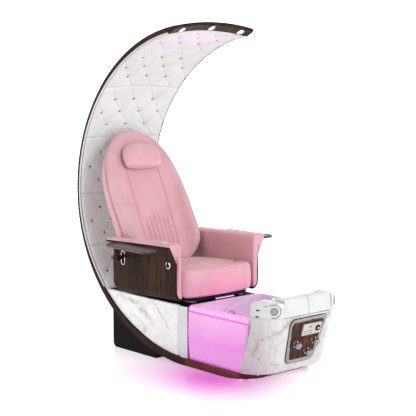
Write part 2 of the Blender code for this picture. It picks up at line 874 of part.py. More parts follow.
def drain_cap():
    middle = (PILLAR_FRONT + glass_front(BASIN_FLOOR)) / 2
    profile = ((0.040, 0.0), (0.038, 0.004), (0.014, 0.007), (0.010, 0.005))
    return turned("drain_cap", profile, (0.0, middle, BASIN_FLOOR + GAP), (0, 0, 1), chrome(), 20)


JET_Y = PILLAR_FRONT - 2 * GAP - BASIN_WALL


def jet_housing():
    """Round whirlpool jet face on the rear wall of the basin."""
    r = JET_RADIUS
    profile = ((r, 0.0), (r, 0.011), (0.84 * r, 0.016), (0.78 * r, 0.004))
    return turned("jet_housing", profile, (0.0, JET_Y, JET_Z), (0, -1, 0), chrome(), 24)


def jet_impeller():
    """Four-lobed impeller inside the jet."""
    home = Vector((0.0, JET_Y - 0.004 - GAP, JET_Z))
    sides = 32
    rings = []
    for height, grow in ((0.0, 0.66), (0.006, 0.64), (0.009, 0.40)):
        ring = []
        for k in range(sides):
            turn = 2 * math.pi * k / sides
            lobe = 0.72 + 0.28 * math.cos(4 * turn) if grow > 0.5 else 0.55
            reach = JET_RADIUS * grow * lobe
            ring.append(home + Vector((reach * math.cos(turn), -height, reach * math.sin(turn))))
        rings.append(ring)
    return loft("jet_impeller", rings, white_gloss(), home)


def seat_rail(name, side):
    """Rail on the deck, hidden between the arms."""
    low, high = DECK_Z + GAP, DECK_Z + RAIL_HEIGHT
    outline = [(ARM_FRONT, low), (HINGE_Y, low), (HINGE_Y, high), (ARM_FRONT, high)]
    near, far = side * (RAIL_X - RAIL_WIDTH / 2), side * (RAIL_X + RAIL_WIDTH / 2)
    return plate(name, outline, near, far, rail_steel())


def axle_ear(side):
    """Upright ear of the carriage that holds one end of the recline axle."""
    near = LUG_HALF + GAP
    foot = LUG_RADIUS + 0.008
    middle = CARRIAGE_LOW + CARRIAGE_THICK / 2
    outline = [(HINGE_Y - foot, middle), (HINGE_Y + foot, middle)]
    for k in range(7):
        turn = math.radians(30.0 * k)
        outline.append((HINGE_Y + LUG_RADIUS * math.cos(turn), HINGE_Z + LUG_RADIUS * math.sin(turn)))
    name = "ear_right" if side < 0 else "ear_left"
    return plate(name, outline, side * near, side * (near + EAR_THICK), black_steel())


def axle_hole(name):
    """Hidden drill for the recline axle."""
    profile = ((AXLE_RADIUS + GAP, -2 * AXLE_HALF), (AXLE_RADIUS + GAP, 2 * AXLE_HALF))
    return turned(name, profile, (0.0, HINGE_Y, HINGE_Z), (1, 0, 0), black_steel(), 16)


def seat_carriage():
    """Steel plate that rides the rails: front corners cut back, two ears for the recline axle."""
    front, rear = SEAT_FRONT + CARRIAGE_SETBACK, HINGE_Y + 0.07
    half = ARM_INNER - GAP
    outline = [(-CARRIAGE_NOSE, front), (CARRIAGE_NOSE, front), (half, front + CARRIAGE_CUT),
               (half, rear), (-half, rear), (-half, front + CARRIAGE_CUT)]
    rings = [[(x, y, z) for x, y in outline] for z in (CARRIAGE_LOW, CARRIAGE_TOP)]
    piece = loft("seat_carriage", rings, black_steel())
    for side in (-1.0, 1.0):
        join(piece, axle_ear(side))
    return cut(piece, axle_hole("ear_drill"))


def release_bar():
    """Flat chrome pull bar under the front of the seat."""
    low = CARRIAGE_LOW - BAR_DROP
    rear = SEAT_FRONT + CARRIAGE_SETBACK - GAP
    front = rear - BAR_DEPTH
    corners = ((front, low + 0.002), (rear, low + 0.002), (rear, low + 0.016), (front, low + 0.012))
    section = fillet(corners, 0.005, 3)
    rings = [[(x, y, z) for y, z in section] for x in (-BAR_HALF, BAR_HALF)]
    return loft("release_bar", rings, chrome(), (0.0, rear, low + 0.011))


def seat_ring(x):
    """Side section of the seat cushion at one x: bowed front, crowned top."""
    share = abs(x) / SEAT_HALF
    end = smooth((share - 0.90) / 0.10)
    crown = SEAT_CROWN * (1.0 - share ** 2) - SEAM_SINK * max(0.0, 1.0 - abs(abs(x) - SEAM_X) / 0.012)
    front = SEAT_FRONT + SEAT_BOW * share ** 4 + 0.016 * end
    top = SEAT_TOP - 0.016 * end
    rear = SEAT_REAR - 0.010 * end
    radius = 0.045
    ring = []
    low = GAP + 0.010 * end
    for k in range(3):
        y = front + 0.018 - 0.018 * math.sin(math.radians(45.0 * k))
        ring.append((y, CARRIAGE_TOP + low + 0.018 * (1.0 - math.cos(math.radians(45.0 * k)))))
    middle = (CARRIAGE_TOP + top) / 2
    ring.append((front - 0.005 * (1.0 - end), middle))
    for k in range(5):
        turn = math.radians(22.5 * k)
        lift = crown * 0.25 * k / 4
        bow = radius * (1.0 - math.cos(turn))
        ring.append((front + bow, top - radius + radius * math.sin(turn) + lift))
    for k in range(1, 6):
        share_y = k / 5
        y = blend(front + radius, rear - 0.02, share_y)
        lift = crown * (0.25 + 0.75 * math.sin(math.pi * min(share_y, 0.5)))
        ring.append((y, top + lift - 0.022 * share_y))
    ring.append((rear, top - 0.045))
    ring.append((rear, CARRIAGE_TOP + low))
    return [(x, y, z) for y, z in ring]


def seat_cushion():
    inner = [0.0, 0.07, 0.13, SEAM_X - 0.014, SEAM_X, SEAM_X + 0.014]
    outer = [SEAT_HALF * s for s in (0.86, 0.93, 0.98, 1.0)]
    right = inner + outer
    columns = [-x for x in reversed(right[1:])] + right
    return loft("seat_cushion", [seat_ring(x) for x in columns], pink())


def arm_curve(offset):
    """Side shell section from the tucked-in foot to the flared top, offset inwards."""
    curve = []
    foot = 0.060
    for k in range(6):
        turn = math.radians(18.0 * k)
        curve.append((ARM_INNER + (ARM_OUTER - offset - ARM_INNER) * math.sin(turn),
                      ARM_LOW + offset + (foot - offset) * (1.0 - math.cos(turn))))
    flare = ARM_FLARE - ARM_OUTER + offset
    for k in range(7):
        turn = math.radians(15.0 * k)
        rise = (FLARE_RISE + offset) * math.sin(turn)
        curve.append((ARM_FLARE - flare * math.cos(turn), FLARE_ROOT + rise))
    return curve


def arm_place(x, y, z, side):
    """Let the section fall towards the rear of the arm, the foot more than the top."""
    slope = blend(ARM_FOOT_SLOPE, ARM_TOP_SLOPE, (z - ARM_LOW) / (ARM_TOP - ARM_LOW))
    return (side * x, y, z - slope * (y - ARM_FRONT))


def arm_rear(z):
    """Rear edge of the arm, rounded away at its lower corner."""
    rise = min((z - ARM_LOW) / ARM_CORNER, 1.0)
    return ARM_REAR - ARM_CORNER * (1.0 - math.sqrt(1.0 - (1.0 - rise) ** 2))


def side_shell(name, side):
    """Bent-wood outer skin of one arm."""
    section = arm_curve(0.0) + list(reversed(arm_curve(SKIN)))
    front = [arm_place(x, ARM_FRONT, z, side) for x, z in section]
    rear = [arm_place(x, arm_rear(z), z, side) for x, z in section]
    return loft(name, [front, rear], walnut())


def arm_pad(name, side):
    """Upholstered inner wall and rolled top of one arm."""
    curve = arm_curve(SKIN + GAP)
    top = [(ARM_FLARE + 0.002, ARM_TOP - 0.009), (ARM_FLARE - 0.004, ARM_TOP - 0.001),
           (ARM_FLARE - 0.016, ARM_TOP + 0.002), (ARM_INNER + 0.045, ARM_TOP + ARM_CROWN),
           (ARM_INNER + 0.014, ARM_TOP), (ARM_INNER + 0.004, ARM_TOP - 0.008),
           (ARM_INNER, ARM_TOP - 0.022), (ARM_INNER, (ARM_LOW + ARM_TOP) / 2)]
    section = curve + top
    middle = (ARM_INNER + ARM_OUTER) / 2
    rings = []
    for forward, narrow in ((0.008, 0.14), (0.004, 0.03), (0.0, 0.0)):
        ring = []
        for x, z in section:
            near = blend(x, middle, narrow) if x < ARM_OUTER else x
            ring.append(arm_place(near, ARM_FRONT - forward, z, side))
        rings.append(ring)
    rings.append([arm_place(x, arm_rear(z) - GAP, z, side) for x, z in section])
    return loft(name, rings, pink())


def switch_bezel():
    """Chrome ring round the seat switch on the sitter's right side."""
    rings = []
    sides = 20
    wall = -(ARM_OUTER + GAP)
    for k in range(sides):
        turn = 2 * math.pi * k / sides
        spoke = Vector((0.0, math.cos(turn), math.sin(turn)))
        home = Vector((wall, SWITCH_Y, SWITCH_Z))
        rings.append([home + spoke * SWITCH_OUT, home + spoke * SWITCH_OUT + Vector((-0.004, 0, 0)),
                      home + spoke * (SWITCH_IN + 0.002) + Vector((-0.006, 0, 0)),
                      home + spoke * SWITCH_IN + Vector((-0.004, 0, 0)), home + spoke * SWITCH_IN])
    return loft("switch_bezel", rings, chrome(), closed=True)


def seat_switch():
    """Push button inside the ring, standing off the wall by its travel."""
    r = SWITCH_IN - GAP
    lift = SWITCH_TRAVEL + 2 * GAP
    place = (-(ARM_OUTER + lift), SWITCH_Y, SWITCH_Z)
    profile = ((r, 0.0), (r, 0.004), (0.8 * r, 0.0055), (0.3 * r, 0.005))
    return turned("seat_switch", profile, place, (-1, 0, 0), black_plastic(), 20)


def arm_remote():
    """Slim control pad on the top of the right arm."""
    x = -(ARM_INNER + 0.050)
    outline = rounded(REMOTE_HALF, REMOTE_LENGTH / 2, REMOTE_HALF / 2, 3)
    rings = []
    seat = ARM_CROWN + GAP
    for lift, grow in ((seat, 1.0), (seat + 0.7 * REMOTE_THICK, 1.0), (seat + REMOTE_THICK, 0.94)):
        ring = []
        for u, v in outline:
            y = REMOTE_Y + v * grow
            ring.append((x + u * grow, y, ARM_TOP + lift - ARM_TOP_SLOPE * (y - ARM_FRONT)))
        rings.append(ring)
    return loft("arm_remote", rings, white_gloss())


def tray_plan(side, swing, u, v):
    """World x, y of a tray point: u outwards and v rearwards from the pivot, swung out."""
    turn = math.radians(swing)
    out = u * math.cos(turn) - v * math.sin(turn)
    back = u * math.sin(turn) + v * math.cos(turn)
    return side * (TRAY_PIVOT_X + out), TRAY_PIVOT_Y + back


def tray_outline(inset):
    corners = ((inset - TRAY_INWARD, inset - TRAY_FORWARD), (TRAY_OUTWARD - inset, inset - TRAY_FORWARD),
               (TRAY_OUTWARD - inset, TRAY_BEHIND - inset), (inset - TRAY_INWARD, TRAY_BEHIND - inset))
    return fillet(corners, TRAY_CORNER - inset, 5)


def tray(name, side, swing):
    """Manicure tray with a raised rim."""
    rim = 0.007
    levels = ((TRAY_Z, rim), (TRAY_Z + rim, 0.0), (TRAY_Z + TRAY_THICK, 0.001),
              (TRAY_Z + TRAY_THICK, rim), (TRAY_Z + TRAY_THICK - rim / 2, rim + 0.002))
    rings = []
    for z, inset in levels:
        rings.append([(*tray_plan(side, swing, u, v), z) for u, v in tray_outline(inset)])
    return loft(name, rings, tray_plastic(), (side * TRAY_PIVOT_X, TRAY_PIVOT_Y, TRAY_Z))


def tray_arm(name, side):
    """Flat black arm from the side shell out to the tray, with its pivot boss."""
    root = Vector((ARM_OUTER + GAP, ARM_BAR_Y, 0.0))
    pivot = Vector((TRAY_PIVOT_X, TRAY_PIVOT_Y, 0.0))
    along = (pivot - root).normalized()
    across = Vector((-along.y, along.x, 0.0)) * ARM_BAR_HALF
    tip = pivot + along * ARM_BAR_HALF
    corners = [(root.x, root.y - ARM_BAR_HALF), (tip.x - across.x, tip.y - across.y),
               (tip.x + across.x, tip.y + across.y), (root.x, root.y + ARM_BAR_HALF)]
    outline = fillet(corners, ARM_BAR_HALF / 3, 3)
    rings = [[(side * x, y, z) for x, y in outline] for z in (ARM_BAR_Z, ARM_BAR_Z + ARM_BAR_THICK)]
    piece = loft(name, rings, black_plastic())
    middle = ARM_BAR_Z + ARM_BAR_THICK / 2
    profile = ((PIN_RADIUS, 0.0), (PIN_RADIUS, TRAY_Z - GAP - middle))
    centre = (side * TRAY_PIVOT_X, TRAY_PIVOT_Y, middle)
    boss = turned(name + "_boss", profile, centre, (0, 0, 1), black_plastic(), 14)
    return join(piece, boss)


HINGE = Vector((0.0, HINGE_Y, HINGE_Z))
BACK_UP = Vector((0.0, math.sin(math.radians(LEAN)), math.cos(math.radians(LEAN))))
BACK_OUT = Vector((0.0, -math.cos(math.radians(LEAN)), math.sin(math.radians(LEAN))))


def back_point(x, up, out):
    """A point of the backrest: across, up from the hinge, and out towards the sitter."""
    return HINGE + Vector((x, 0.0, 0.0)) + BACK_UP * up + BACK_OUT * out


def oval(turn, half, top, low, powers):
    """Egg-shaped outline about the widest height of the back."""
    c, s = math.cos(turn), math.sin(turn)
    if s >= 0:
        return half * signed_power(c, powers[0]), BACK_WIDE + (top - BACK_WIDE) * s ** powers[1]
    return half * signed_power(c, powers[2]), BACK_WIDE - (BACK_WIDE - low) * abs(s) ** powers[3]


def back_outer(turn):
    return oval(turn, BACK_HALF, BACK_TOP, BACK_LOW, (0.9, 0.8, 0.6, 0.5))


def back_inner(turn):
    return oval(turn, PANEL_HALF + RUN, PANEL_TOP, BACK_LOW + BOLSTER_FOOT, (0.35, 0.6, 0.35, 0.35))


BACK_STEPS = 40


def turns(count):
    return [2 * math.pi * (k + 0.5) / count for k in range(count)]


def back_shell():
    """Upholstered rear shell, deep up to the shoulders and thin at the head."""
    levels = ((1.0, 0.60), (0.92, 0.82), (0.66, 0.965), (0.25, 1.0), (0.0, 0.99))
    rings = []
    for depth, grow in levels:
        ring = []
        for turn in turns(BACK_STEPS):
            x, up = back_outer(turn)
            up = BACK_WIDE + (up - BACK_WIDE) * grow
            fade = smooth((up - BACK_SHOULDER) / (BACK_TOP - BACK_SHOULDER))
            ring.append(back_point(x * grow, up, -depth * BACK_DEPTH * (1.0 - BACK_TAPER * fade)))
        rings.append(ring)
    return loft("back_shell", rings, pink(), HINGE)


def wing_height(up):
    """How far the side wings stand out, most beside the hips."""
    rise = smooth((up - BACK_LOW + 0.05) / 0.20)
    fade = max((up - 0.25) / (BACK_TOP - 0.30), 0.0)
    return blend(WING_LOW, WING_TOP, fade) * rise


def back_bolster():
    """Horseshoe bolster: a ridge near the rim that falls away to the centre panel."""
    ridge = ((0.0, 0.0), (0.0, 0.45), (0.06, 0.85), (0.16, 1.0), (0.30, 0.94))
    rings = []
    for turn in turns(BACK_STEPS):
        outer, inner = back_outer(turn), back_inner(turn)
        tall = max(wing_height(outer[1]), PANEL_FACE)
        section = [(share, max(tall * rise, GAP)) for share, rise in ridge]
        section += [(0.62, blend(tall, PANEL_FACE, 0.65)), (0.96, PANEL_FACE),
                    (1.0, PANEL_FACE - 0.006), (1.0, GAP)]
        ring = []
        for share, out in section:
            x, up = blend(outer[0], inner[0], share), blend(outer[1], inner[1], share)
            ring.append(back_point(x, up, out))
        rings.append(ring)
    return loft("back_bolster", rings, pink(), HINGE, closed=True)


def panel_half(up):
    """Half width of the centre panel at a height, just inside the bolster."""
    if up >= BACK_WIDE:
        s = ((up - BACK_WIDE) / (PANEL_TOP - BACK_WIDE)) ** (1 / 0.6)
    else:
        s = ((BACK_WIDE - up) / (BACK_WIDE - BACK_LOW - BOLSTER_FOOT)) ** (1 / 0.35)
    return PANEL_HALF * max(1.0 - s * s, 0.0) ** (0.35 / 2) - 2 * RUN


def back_panel():
    """Centre panel with sewn flutes over its lower half."""
    grooves = [FLUTE_PITCH * (k - (FLUTES - 1) / 2) for k in range(FLUTES)]
    inside = []
    for k, groove in enumerate(grooves):
        inside += [groove - FLUTE_PITCH / 5, groove, groove + FLUTE_PITCH / 5]
        if k + 1 < FLUTES:
            inside.append(groove + FLUTE_PITCH / 2)
    low, high = BACK_LOW + BOLSTER_FOOT + 0.012, PANEL_TOP - 0.045
    rows = 10
    front, back = [], []
    for r in range(rows + 1):
        up = blend(low, high, r / rows)
        half = panel_half(up)
        squeeze = min(1.0, half / (PANEL_HALF - 2 * RUN))
        sewn = smooth((FLUTE_TOP - up) / 0.08)
        row = []
        columns = [-1.0, -0.97] + [x / PANEL_HALF for x in inside] + [0.97, 1.0]
        for u in columns:
            edge = 0.006 if abs(u) == 1.0 else 0.0
            x = u * half
            nearest = min(abs(u * PANEL_HALF - g) for g in grooves)
            dip = FLUTE_DEPTH * sewn * max(0.0, 1.0 - nearest / (FLUTE_PITCH / 5))
            row.append(back_point(x, up, PANEL_FACE + PANEL_CROWN * (1.0 - u * u) * squeeze - dip - edge))
        front.append(row)
        back.append([back_point(-half, up, GAP), back_point(half, up, GAP)])
    return slab("back_panel", front, back, pink(), HINGE)


def head_pillow():
    """D-shaped pillow: straight below, round above."""
    centre = blend(PILLOW_LOW, PILLOW_HIGH, 0.42)
    rear = PANEL_FACE + PANEL_CROWN + GAP
    levels = ((rear, 0.60), (rear + 0.006, 0.90), (rear + 0.018, 1.0), (rear + 0.034, 0.95),
              (rear + 0.046, 0.78), (rear + 0.052, 0.45))
    rings = []
    for out, grow in levels:
        ring = []
        for turn in turns(32):
            c, s = math.cos(turn), math.sin(turn)
            x = PILLOW_HALF * signed_power(c, 0.85 if s >= 0 else 0.6)
            up = (PILLOW_HIGH - centre) * s ** 0.9 if s >= 0 else -(centre - PILLOW_LOW) * abs(s) ** 0.45
            ring.append(back_point(x * grow, centre + up * grow, out))
        rings.append(ring)
    return loft("head_pillow", rings, pink(), HINGE)


def recline_axle():
    place = (-AXLE_HALF, HINGE_Y, HINGE_Z)
    profile = ((0.8 * AXLE_RADIUS, 0.0), (AXLE_RADIUS, 0.002), (AXLE_RADIUS, 2 * AXLE_HALF - 0.002),
               (0.8 * AXLE_RADIUS, 2 * AXLE_HALF))
    return turned("recline_axle", profile, place, (1, 0, 0), rail_steel(), 16)


def back_lug():
    """Steel lug under the back shell that turns on the axle between the ears."""
    top = BACK_LOW + GAP / 2
    outline = []
    for k in range(9):
        turn = math.radians(-180.0 * k / 8)
        outline.append((LUG_RADIUS * math.sin(turn), LUG_RADIUS * math.cos(turn)))
    outline += [(top, -LUG_RADIUS), (top, -GAP)]
    rings = [[back_point(x, up, out) for up, out in outline] for x in (GAP - LUG_HALF, LUG_HALF - GAP)]
    return cut(loft("back_lug", rings, black_steel(), HINGE), axle_hole("lug_drill"))


def main():
    crescent_shell()
    for index in range(LINER_PANELS):
        liner_panel(index)
    canopy_fascia()
    for word, place, knob in (("right", -1.0, KNOB_RIGHT), ("middle", 0.0, KNOB_MIDDLE),
                              ("left", 1.0, KNOB_LEFT)):
        downlight("downlight_" + word, place * LIGHT_SPREAD)
        valve_knob("knob_" + word, *knob)
    base_pan()
    plinth()
    rear_housing()
    seat_deck()
    basin()
    nose_shell()
    control_bezel()
    control_plate()
    keypad()
    keypad_dial()
    spout()
    drain_cap()
    jet_housing()
    jet_impeller()
    seat_carriage()
    release_bar()
    seat_cushion()
    switch_bezel()
    seat_switch()
    arm_remote()
    recline_axle()
    back_lug()
    back_shell()
    back_bolster()
    back_panel()
    head_pillow()
    for word, side in (("right", -1.0), ("left", 1.0)):
        side_panel("side_panel_" + word, side)
        pillar("pillar_" + word, side)
        frame_rib("frame_rib_" + word, side)
        shoulder("shoulder_" + word, side)
        footrest_pad("footrest_pad_" + word, side)
        seat_rail("seat_rail_" + word, side)
        side_shell("side_shell_" + word, side)
        arm_pad("arm_pad_" + word, side)
        tray_arm("tray_arm_" + word, side)
    tray("tray_right", -1.0, TRAY_SWING_RIGHT)
    tray("tray_left", 1.0, TRAY_SWING_LEFT)


main()
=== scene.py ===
"""Looks of the pedicure spa chair: leather, tufting, piping, marble, walnut and light."""
import json
import math

import bpy
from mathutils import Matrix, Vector


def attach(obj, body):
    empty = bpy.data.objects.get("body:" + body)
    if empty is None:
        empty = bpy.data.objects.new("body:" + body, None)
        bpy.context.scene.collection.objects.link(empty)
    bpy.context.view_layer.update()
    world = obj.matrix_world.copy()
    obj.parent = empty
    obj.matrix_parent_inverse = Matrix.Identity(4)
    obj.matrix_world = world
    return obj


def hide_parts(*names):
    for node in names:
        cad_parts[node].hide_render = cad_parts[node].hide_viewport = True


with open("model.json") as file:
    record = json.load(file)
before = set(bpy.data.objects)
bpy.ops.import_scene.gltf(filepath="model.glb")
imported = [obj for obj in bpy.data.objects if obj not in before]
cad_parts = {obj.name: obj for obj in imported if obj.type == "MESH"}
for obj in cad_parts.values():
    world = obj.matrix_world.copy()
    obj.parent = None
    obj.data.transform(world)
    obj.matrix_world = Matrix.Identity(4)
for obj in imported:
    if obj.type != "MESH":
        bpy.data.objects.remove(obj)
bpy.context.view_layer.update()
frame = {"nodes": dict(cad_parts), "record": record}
scene = bpy.context.scene
scene.view_settings.view_transform = "Standard"

# Sizes shared with the CAD model, in metres and degrees
GAP = 0.0004
RUN = 0.0008
PAN_HEIGHT = 0.008
BAND_HALF = 0.312
PLINTH_THICK = 0.040
PLINTH_TOP = PAN_HEIGHT + PLINTH_THICK
PLINTH_FRONT = -0.662
PLINTH_CORNER = 0.16
BODY_HALF = 0.300
DECK_Z = 0.355
GLASS_FRONT_TOP = -0.702
GLASS_FRONT_LOW = -0.649
GLASS_RAKE = GLASS_FRONT_TOP - GLASS_FRONT_LOW
NOSE_TOP = 0.378
NOSE_FRONT_LOW = -0.765
NOSE_FRONT_TOP = -0.868
NOSE_CORNER = 0.155
PANEL_HALF_TOP = 0.150
PANEL_HALF_LOW = 0.112
PANEL_LOW = 0.098
PANEL_HIGH = 0.366
BEZEL_WIDTH = 0.022
BEZEL_CORNER = 0.042
PAD_HALF = 0.185
ARC_REAR = 0.880
ARC_Z = 0.958
ARC_TOP_RISE = 1.018
ARC_TOP_REACH = 1.082
ARC_LOW_REACH = 1.052
TIP_ANGLE = 84.1
BAND_TIP = 0.027
BAND_EDGE = 0.014
BAND_MIDDLE = 0.014
DISH = 0.030
BACKING = 0.0015
LINER_THICK = 0.016
LINER_INSET = 0.012
LINER_LOW = -40.5
LINER_PANELS = 6
SEAM_FIRST = 62.2
SEAM_PITCH = 21.15
TUFT_PITCH = 0.153
FASCIA_EDGE = 0.004
FASCIA_DEPTH = 0.013
FASCIA_WIDTH = 0.060
LIP_CLEAR = 0.003
LIP_ANGLE = math.degrees(FASCIA_WIDTH / ARC_TOP_REACH)
LINER_TOP = TIP_ANGLE - math.degrees((FASCIA_WIDTH + LIP_CLEAR) / ARC_TOP_REACH)
LIGHT_RADIUS = 0.024
LIGHT_SPREAD = 0.232
SEAT_HALF = 0.283
SEAT_FRONT = -0.170
SEAT_REAR = 0.295
SEAT_TOP = 0.553
SEAT_CROWN = 0.026
SEAT_BOW = 0.050
SEAM_X = 0.180
CARRIAGE_THICK = 0.018
RAIL_HEIGHT = 0.016
CARRIAGE_TOP = DECK_Z + RAIL_HEIGHT + RUN + CARRIAGE_THICK
ARM_INNER = 0.291
ARM_OUTER = 0.337
ARM_FLARE = 0.388
FLARE_RISE = 0.036
FLARE_SLAB = 0.022
ARM_FRONT = -0.118
ARM_REAR = 0.475
ARM_LOW = 0.378
ARM_TOP = 0.716
ARM_FOOT_SLOPE = 0.035
ARM_TOP_SLOPE = 0.0255
FLARE_ROOT = ARM_TOP - FLARE_RISE - FLARE_SLAB
ARM_CROWN = 0.004
ARM_CORNER = 0.090
SKIN = 0.010
ARM_BAR_Y = 0.372
ARM_BAR_Z = 0.586
ARM_BAR_THICK = 0.016
HINGE = Vector((0.0, 0.335, 0.452))
LEAN = 24.5
BACK_HALF = 0.287
BACK_WIDE = 0.450
BACK_TOP = 0.965
BACK_LOW = 0.050
BACK_DEPTH = 0.105
BACK_SHOULDER = 0.700
BACK_TAPER = 0.85
WING_LOW = 0.100
WING_TOP = 0.026
PANEL_HALF = 0.130
PANEL_TOP = 0.840
PANEL_FACE = 0.026
PANEL_CROWN = 0.006
BOLSTER_FOOT = 0.035
FLUTES = 6
PILLOW_HALF = 0.150
PILLOW_LOW = 0.690
PILLOW_HIGH = 0.868

# Sizes of the dressed forms alone
ARM_FOOT = 0.060
GLASS_REAR = -0.1824
BASIN_HIGH = 0.318
RIM_LINE = 0.286
PAD_TOP = 0.487
PAD_FALL = 0.031
LINER_TAIL = 1.1
FLUTE_PITCH = 0.034
FLUTE_DEPTH = 0.011
FLUTE_TOP = 0.480
BASIN_CENTRE = (0.0, -0.44, 0.20)

SIDES = (("right", -1), ("left", 1))


def blend(low, high, share):
    return low + (high - low) * share


def smooth(value):
    value = min(max(value, 0.0), 1.0)
    return value * value * (3.0 - 2.0 * value)


def signed_power(value, power):
    return math.copysign(abs(value) ** power, value)


def bell(away, width):
    return math.exp(-(away / width) ** 2)


def turns(count):
    return [2 * math.pi * (k + 0.5) / count for k in range(count)]


def quarter(steps):
    """Angles from 0 to a right angle."""
    return [math.pi / 2 * k / steps for k in range(steps + 1)]


def shader_sum(operation):
    return lambda first, second: first.nodes.math(operation, first, second)


class Field:
    """A value that varies over a surface, so that sums with it are written as usual."""

    def __init__(self, nodes, socket):
        self.nodes, self.socket = nodes, socket

    __add__, __sub__ = shader_sum("ADD"), shader_sum("SUBTRACT")
    __mul__, __truediv__, __pow__ = shader_sum("MULTIPLY"), shader_sum("DIVIDE"), shader_sum("POWER")

    def __rsub__(self, other):
        return self.nodes.math("SUBTRACT", other, self)

    def __abs__(self):
        return self.nodes.math("ABSOLUTE", self)


class Nodes:
    """The nodes of a material or of the world."""

    def __init__(self, tree):
        self.tree = tree

    def add(self, kind, inputs=(), **settings):
        made = self.tree.nodes.new(kind)
        for key, value in settings.items():
            setattr(made, key, value)
        for key, value in dict(inputs).items():
            if isinstance(value, Field):
                self.tree.links.new(value.socket, made.inputs[key])
            else:
                made.inputs[key].default_value = value
        return made

    def value(self, output, kind, inputs=(), **settings):
        return Field(self, self.add(kind, inputs, **settings).outputs[output])

    def where(self, stretch=(1.0, 1.0, 1.0)):
        """Place on the object, at rest, stretched along the axes."""
        place = self.value("Object", "ShaderNodeTexCoord")
        return self.value("Vector", "ShaderNodeMapping", {"Vector": place, "Scale": stretch})

    def axes(self, vector):
        parts = self.add("ShaderNodeSeparateXYZ", {"Vector": vector})
        return [Field(self, parts.outputs[axis]) for axis in "XYZ"]

    def noise(self, vector, scale, detail=3.0, rough=0.5, warp=0.0, output="Fac"):
        return self.value(output, "ShaderNodeTexNoise", {"Vector": vector, "Scale": scale, "Detail": detail,
                                                         "Roughness": rough, "Distortion": warp})

    def cells(self, vector, scale):
        return self.value("Distance", "ShaderNodeTexVoronoi", {"Vector": vector, "Scale": scale},
                          feature="DISTANCE_TO_EDGE")

    def math(self, operation, first, second=0.0):
        return self.value(0, "ShaderNodeMath", {0: first, 1: second}, operation=operation)

    def vector(self, operation, first, second=(0.0, 0.0, 0.0)):
        output = "Value" if operation in ("DOT_PRODUCT", "LENGTH") else "Vector"
        return self.value(output, "ShaderNodeVectorMath", {0: first, 1: second}, operation=operation)

    def range(self, value, low, high, start=0.0, end=1.0):
        return self.value("Result", "ShaderNodeMapRange", {"Value": value, "From Min": start, "From Max": end,
                                                           "To Min": low, "To Max": high})

    def ramp(self, value, *stops):
        made = self.add("ShaderNodeValToRGB", {"Fac": value})
        points = made.color_ramp.elements
        while len(points) < len(stops):
            points.new(0.5)
        for point, (place, colour) in zip(points, stops):
            point.position = place
            point.color = (*colour, 1.0)
        return Field(self, made.outputs["Color"])

    def mix(self, share, first, second):
        return self.value(2, "ShaderNodeMix", {0: share, 6: first, 7: second}, data_type="RGBA")

    def bump(self, height, strength, distance, before=None):
        inputs = {"Height": height, "Strength": strength, "Distance": distance}
        if before:
            inputs["Normal"] = before
        return self.value("Normal", "ShaderNodeBump", inputs)


class Paint(Nodes):
    """A Principled material and the nodes that vary it."""

    def __init__(self, name, sockets):
        self.material = bpy.data.materials.new(name)
        self.material.use_nodes = True
        super().__init__(self.material.node_tree)
        self.shader = self.tree.nodes["Principled BSDF"]
        for key, value in sockets.items():
            self.shader.inputs[key].default_value = value

    def finish(self, fields):
        for socket, field in fields.items():
            self.tree.links.new(field.socket, self.shader.inputs[socket])
        return self.material


def leather(name, dark, light, grain=0.22):
    """Grained leather: pebbled cells, soft creases and a slightly uneven dye."""
    paint = Paint(name, {"Specular IOR Level": 0.45, "Coat Weight": 0.06, "Coat Roughness": 0.35})
    place = paint.where()
    pebbles = paint.bump(paint.cells(place, 620.0), grain, 0.0006)
    creases = paint.noise(place, 55.0, 6.0, 0.6, 0.6)
    return paint.finish({"Base Color": paint.ramp(paint.noise(place, 7.0, 5.0), (0.30, dark), (0.72, light)),
                         "Roughness": paint.range(paint.noise(place, 120.0, 3.0), 0.40, 0.58),
                         "Normal": paint.bump(creases, 0.10, 0.0030, pebbles)})


def walnut(name, stretch, lift=1.0):
    """Espresso walnut veneer under satin lacquer, grain drawn out along the weak axis of the stretch."""
    paint = Paint(name, {"Coat Weight": 0.04, "Coat Roughness": 0.25, "Specular IOR Level": 0.06})
    figure = paint.noise(paint.where(stretch), 1.0, 5.0, 0.55, 1.4)
    cloud = paint.noise(paint.where([0.3 * s for s in stretch]), 1.0, 2.0, 0.5, 0.8)
    pores = paint.noise(paint.where([6.0 * s for s in stretch]), 1.0, 3.0, 0.7, 0.2)
    flecks = paint.noise(paint.where(), 95.0, 3.0, 0.6, 0.5)
    grain = figure * 0.52 + cloud * 0.34 + (pores * 0.14 + flecks * 0.20) - 0.10
    stops = [(place, [lift * c for c in tone]) for place, tone in WALNUT_TONES]
    return paint.finish({"Base Color": paint.ramp(grain, *stops), "Roughness": paint.range(pores, 0.34, 0.52),
                         "Normal": paint.bump(grain, 0.10, 0.0008)})


WALNUT_TONES = ((0.34, (0.010, 0.0036, 0.0020)), (0.46, (0.024, 0.0092, 0.0048)),
                (0.56, (0.046, 0.0185, 0.0100)), (0.68, (0.098, 0.0460, 0.0265)))

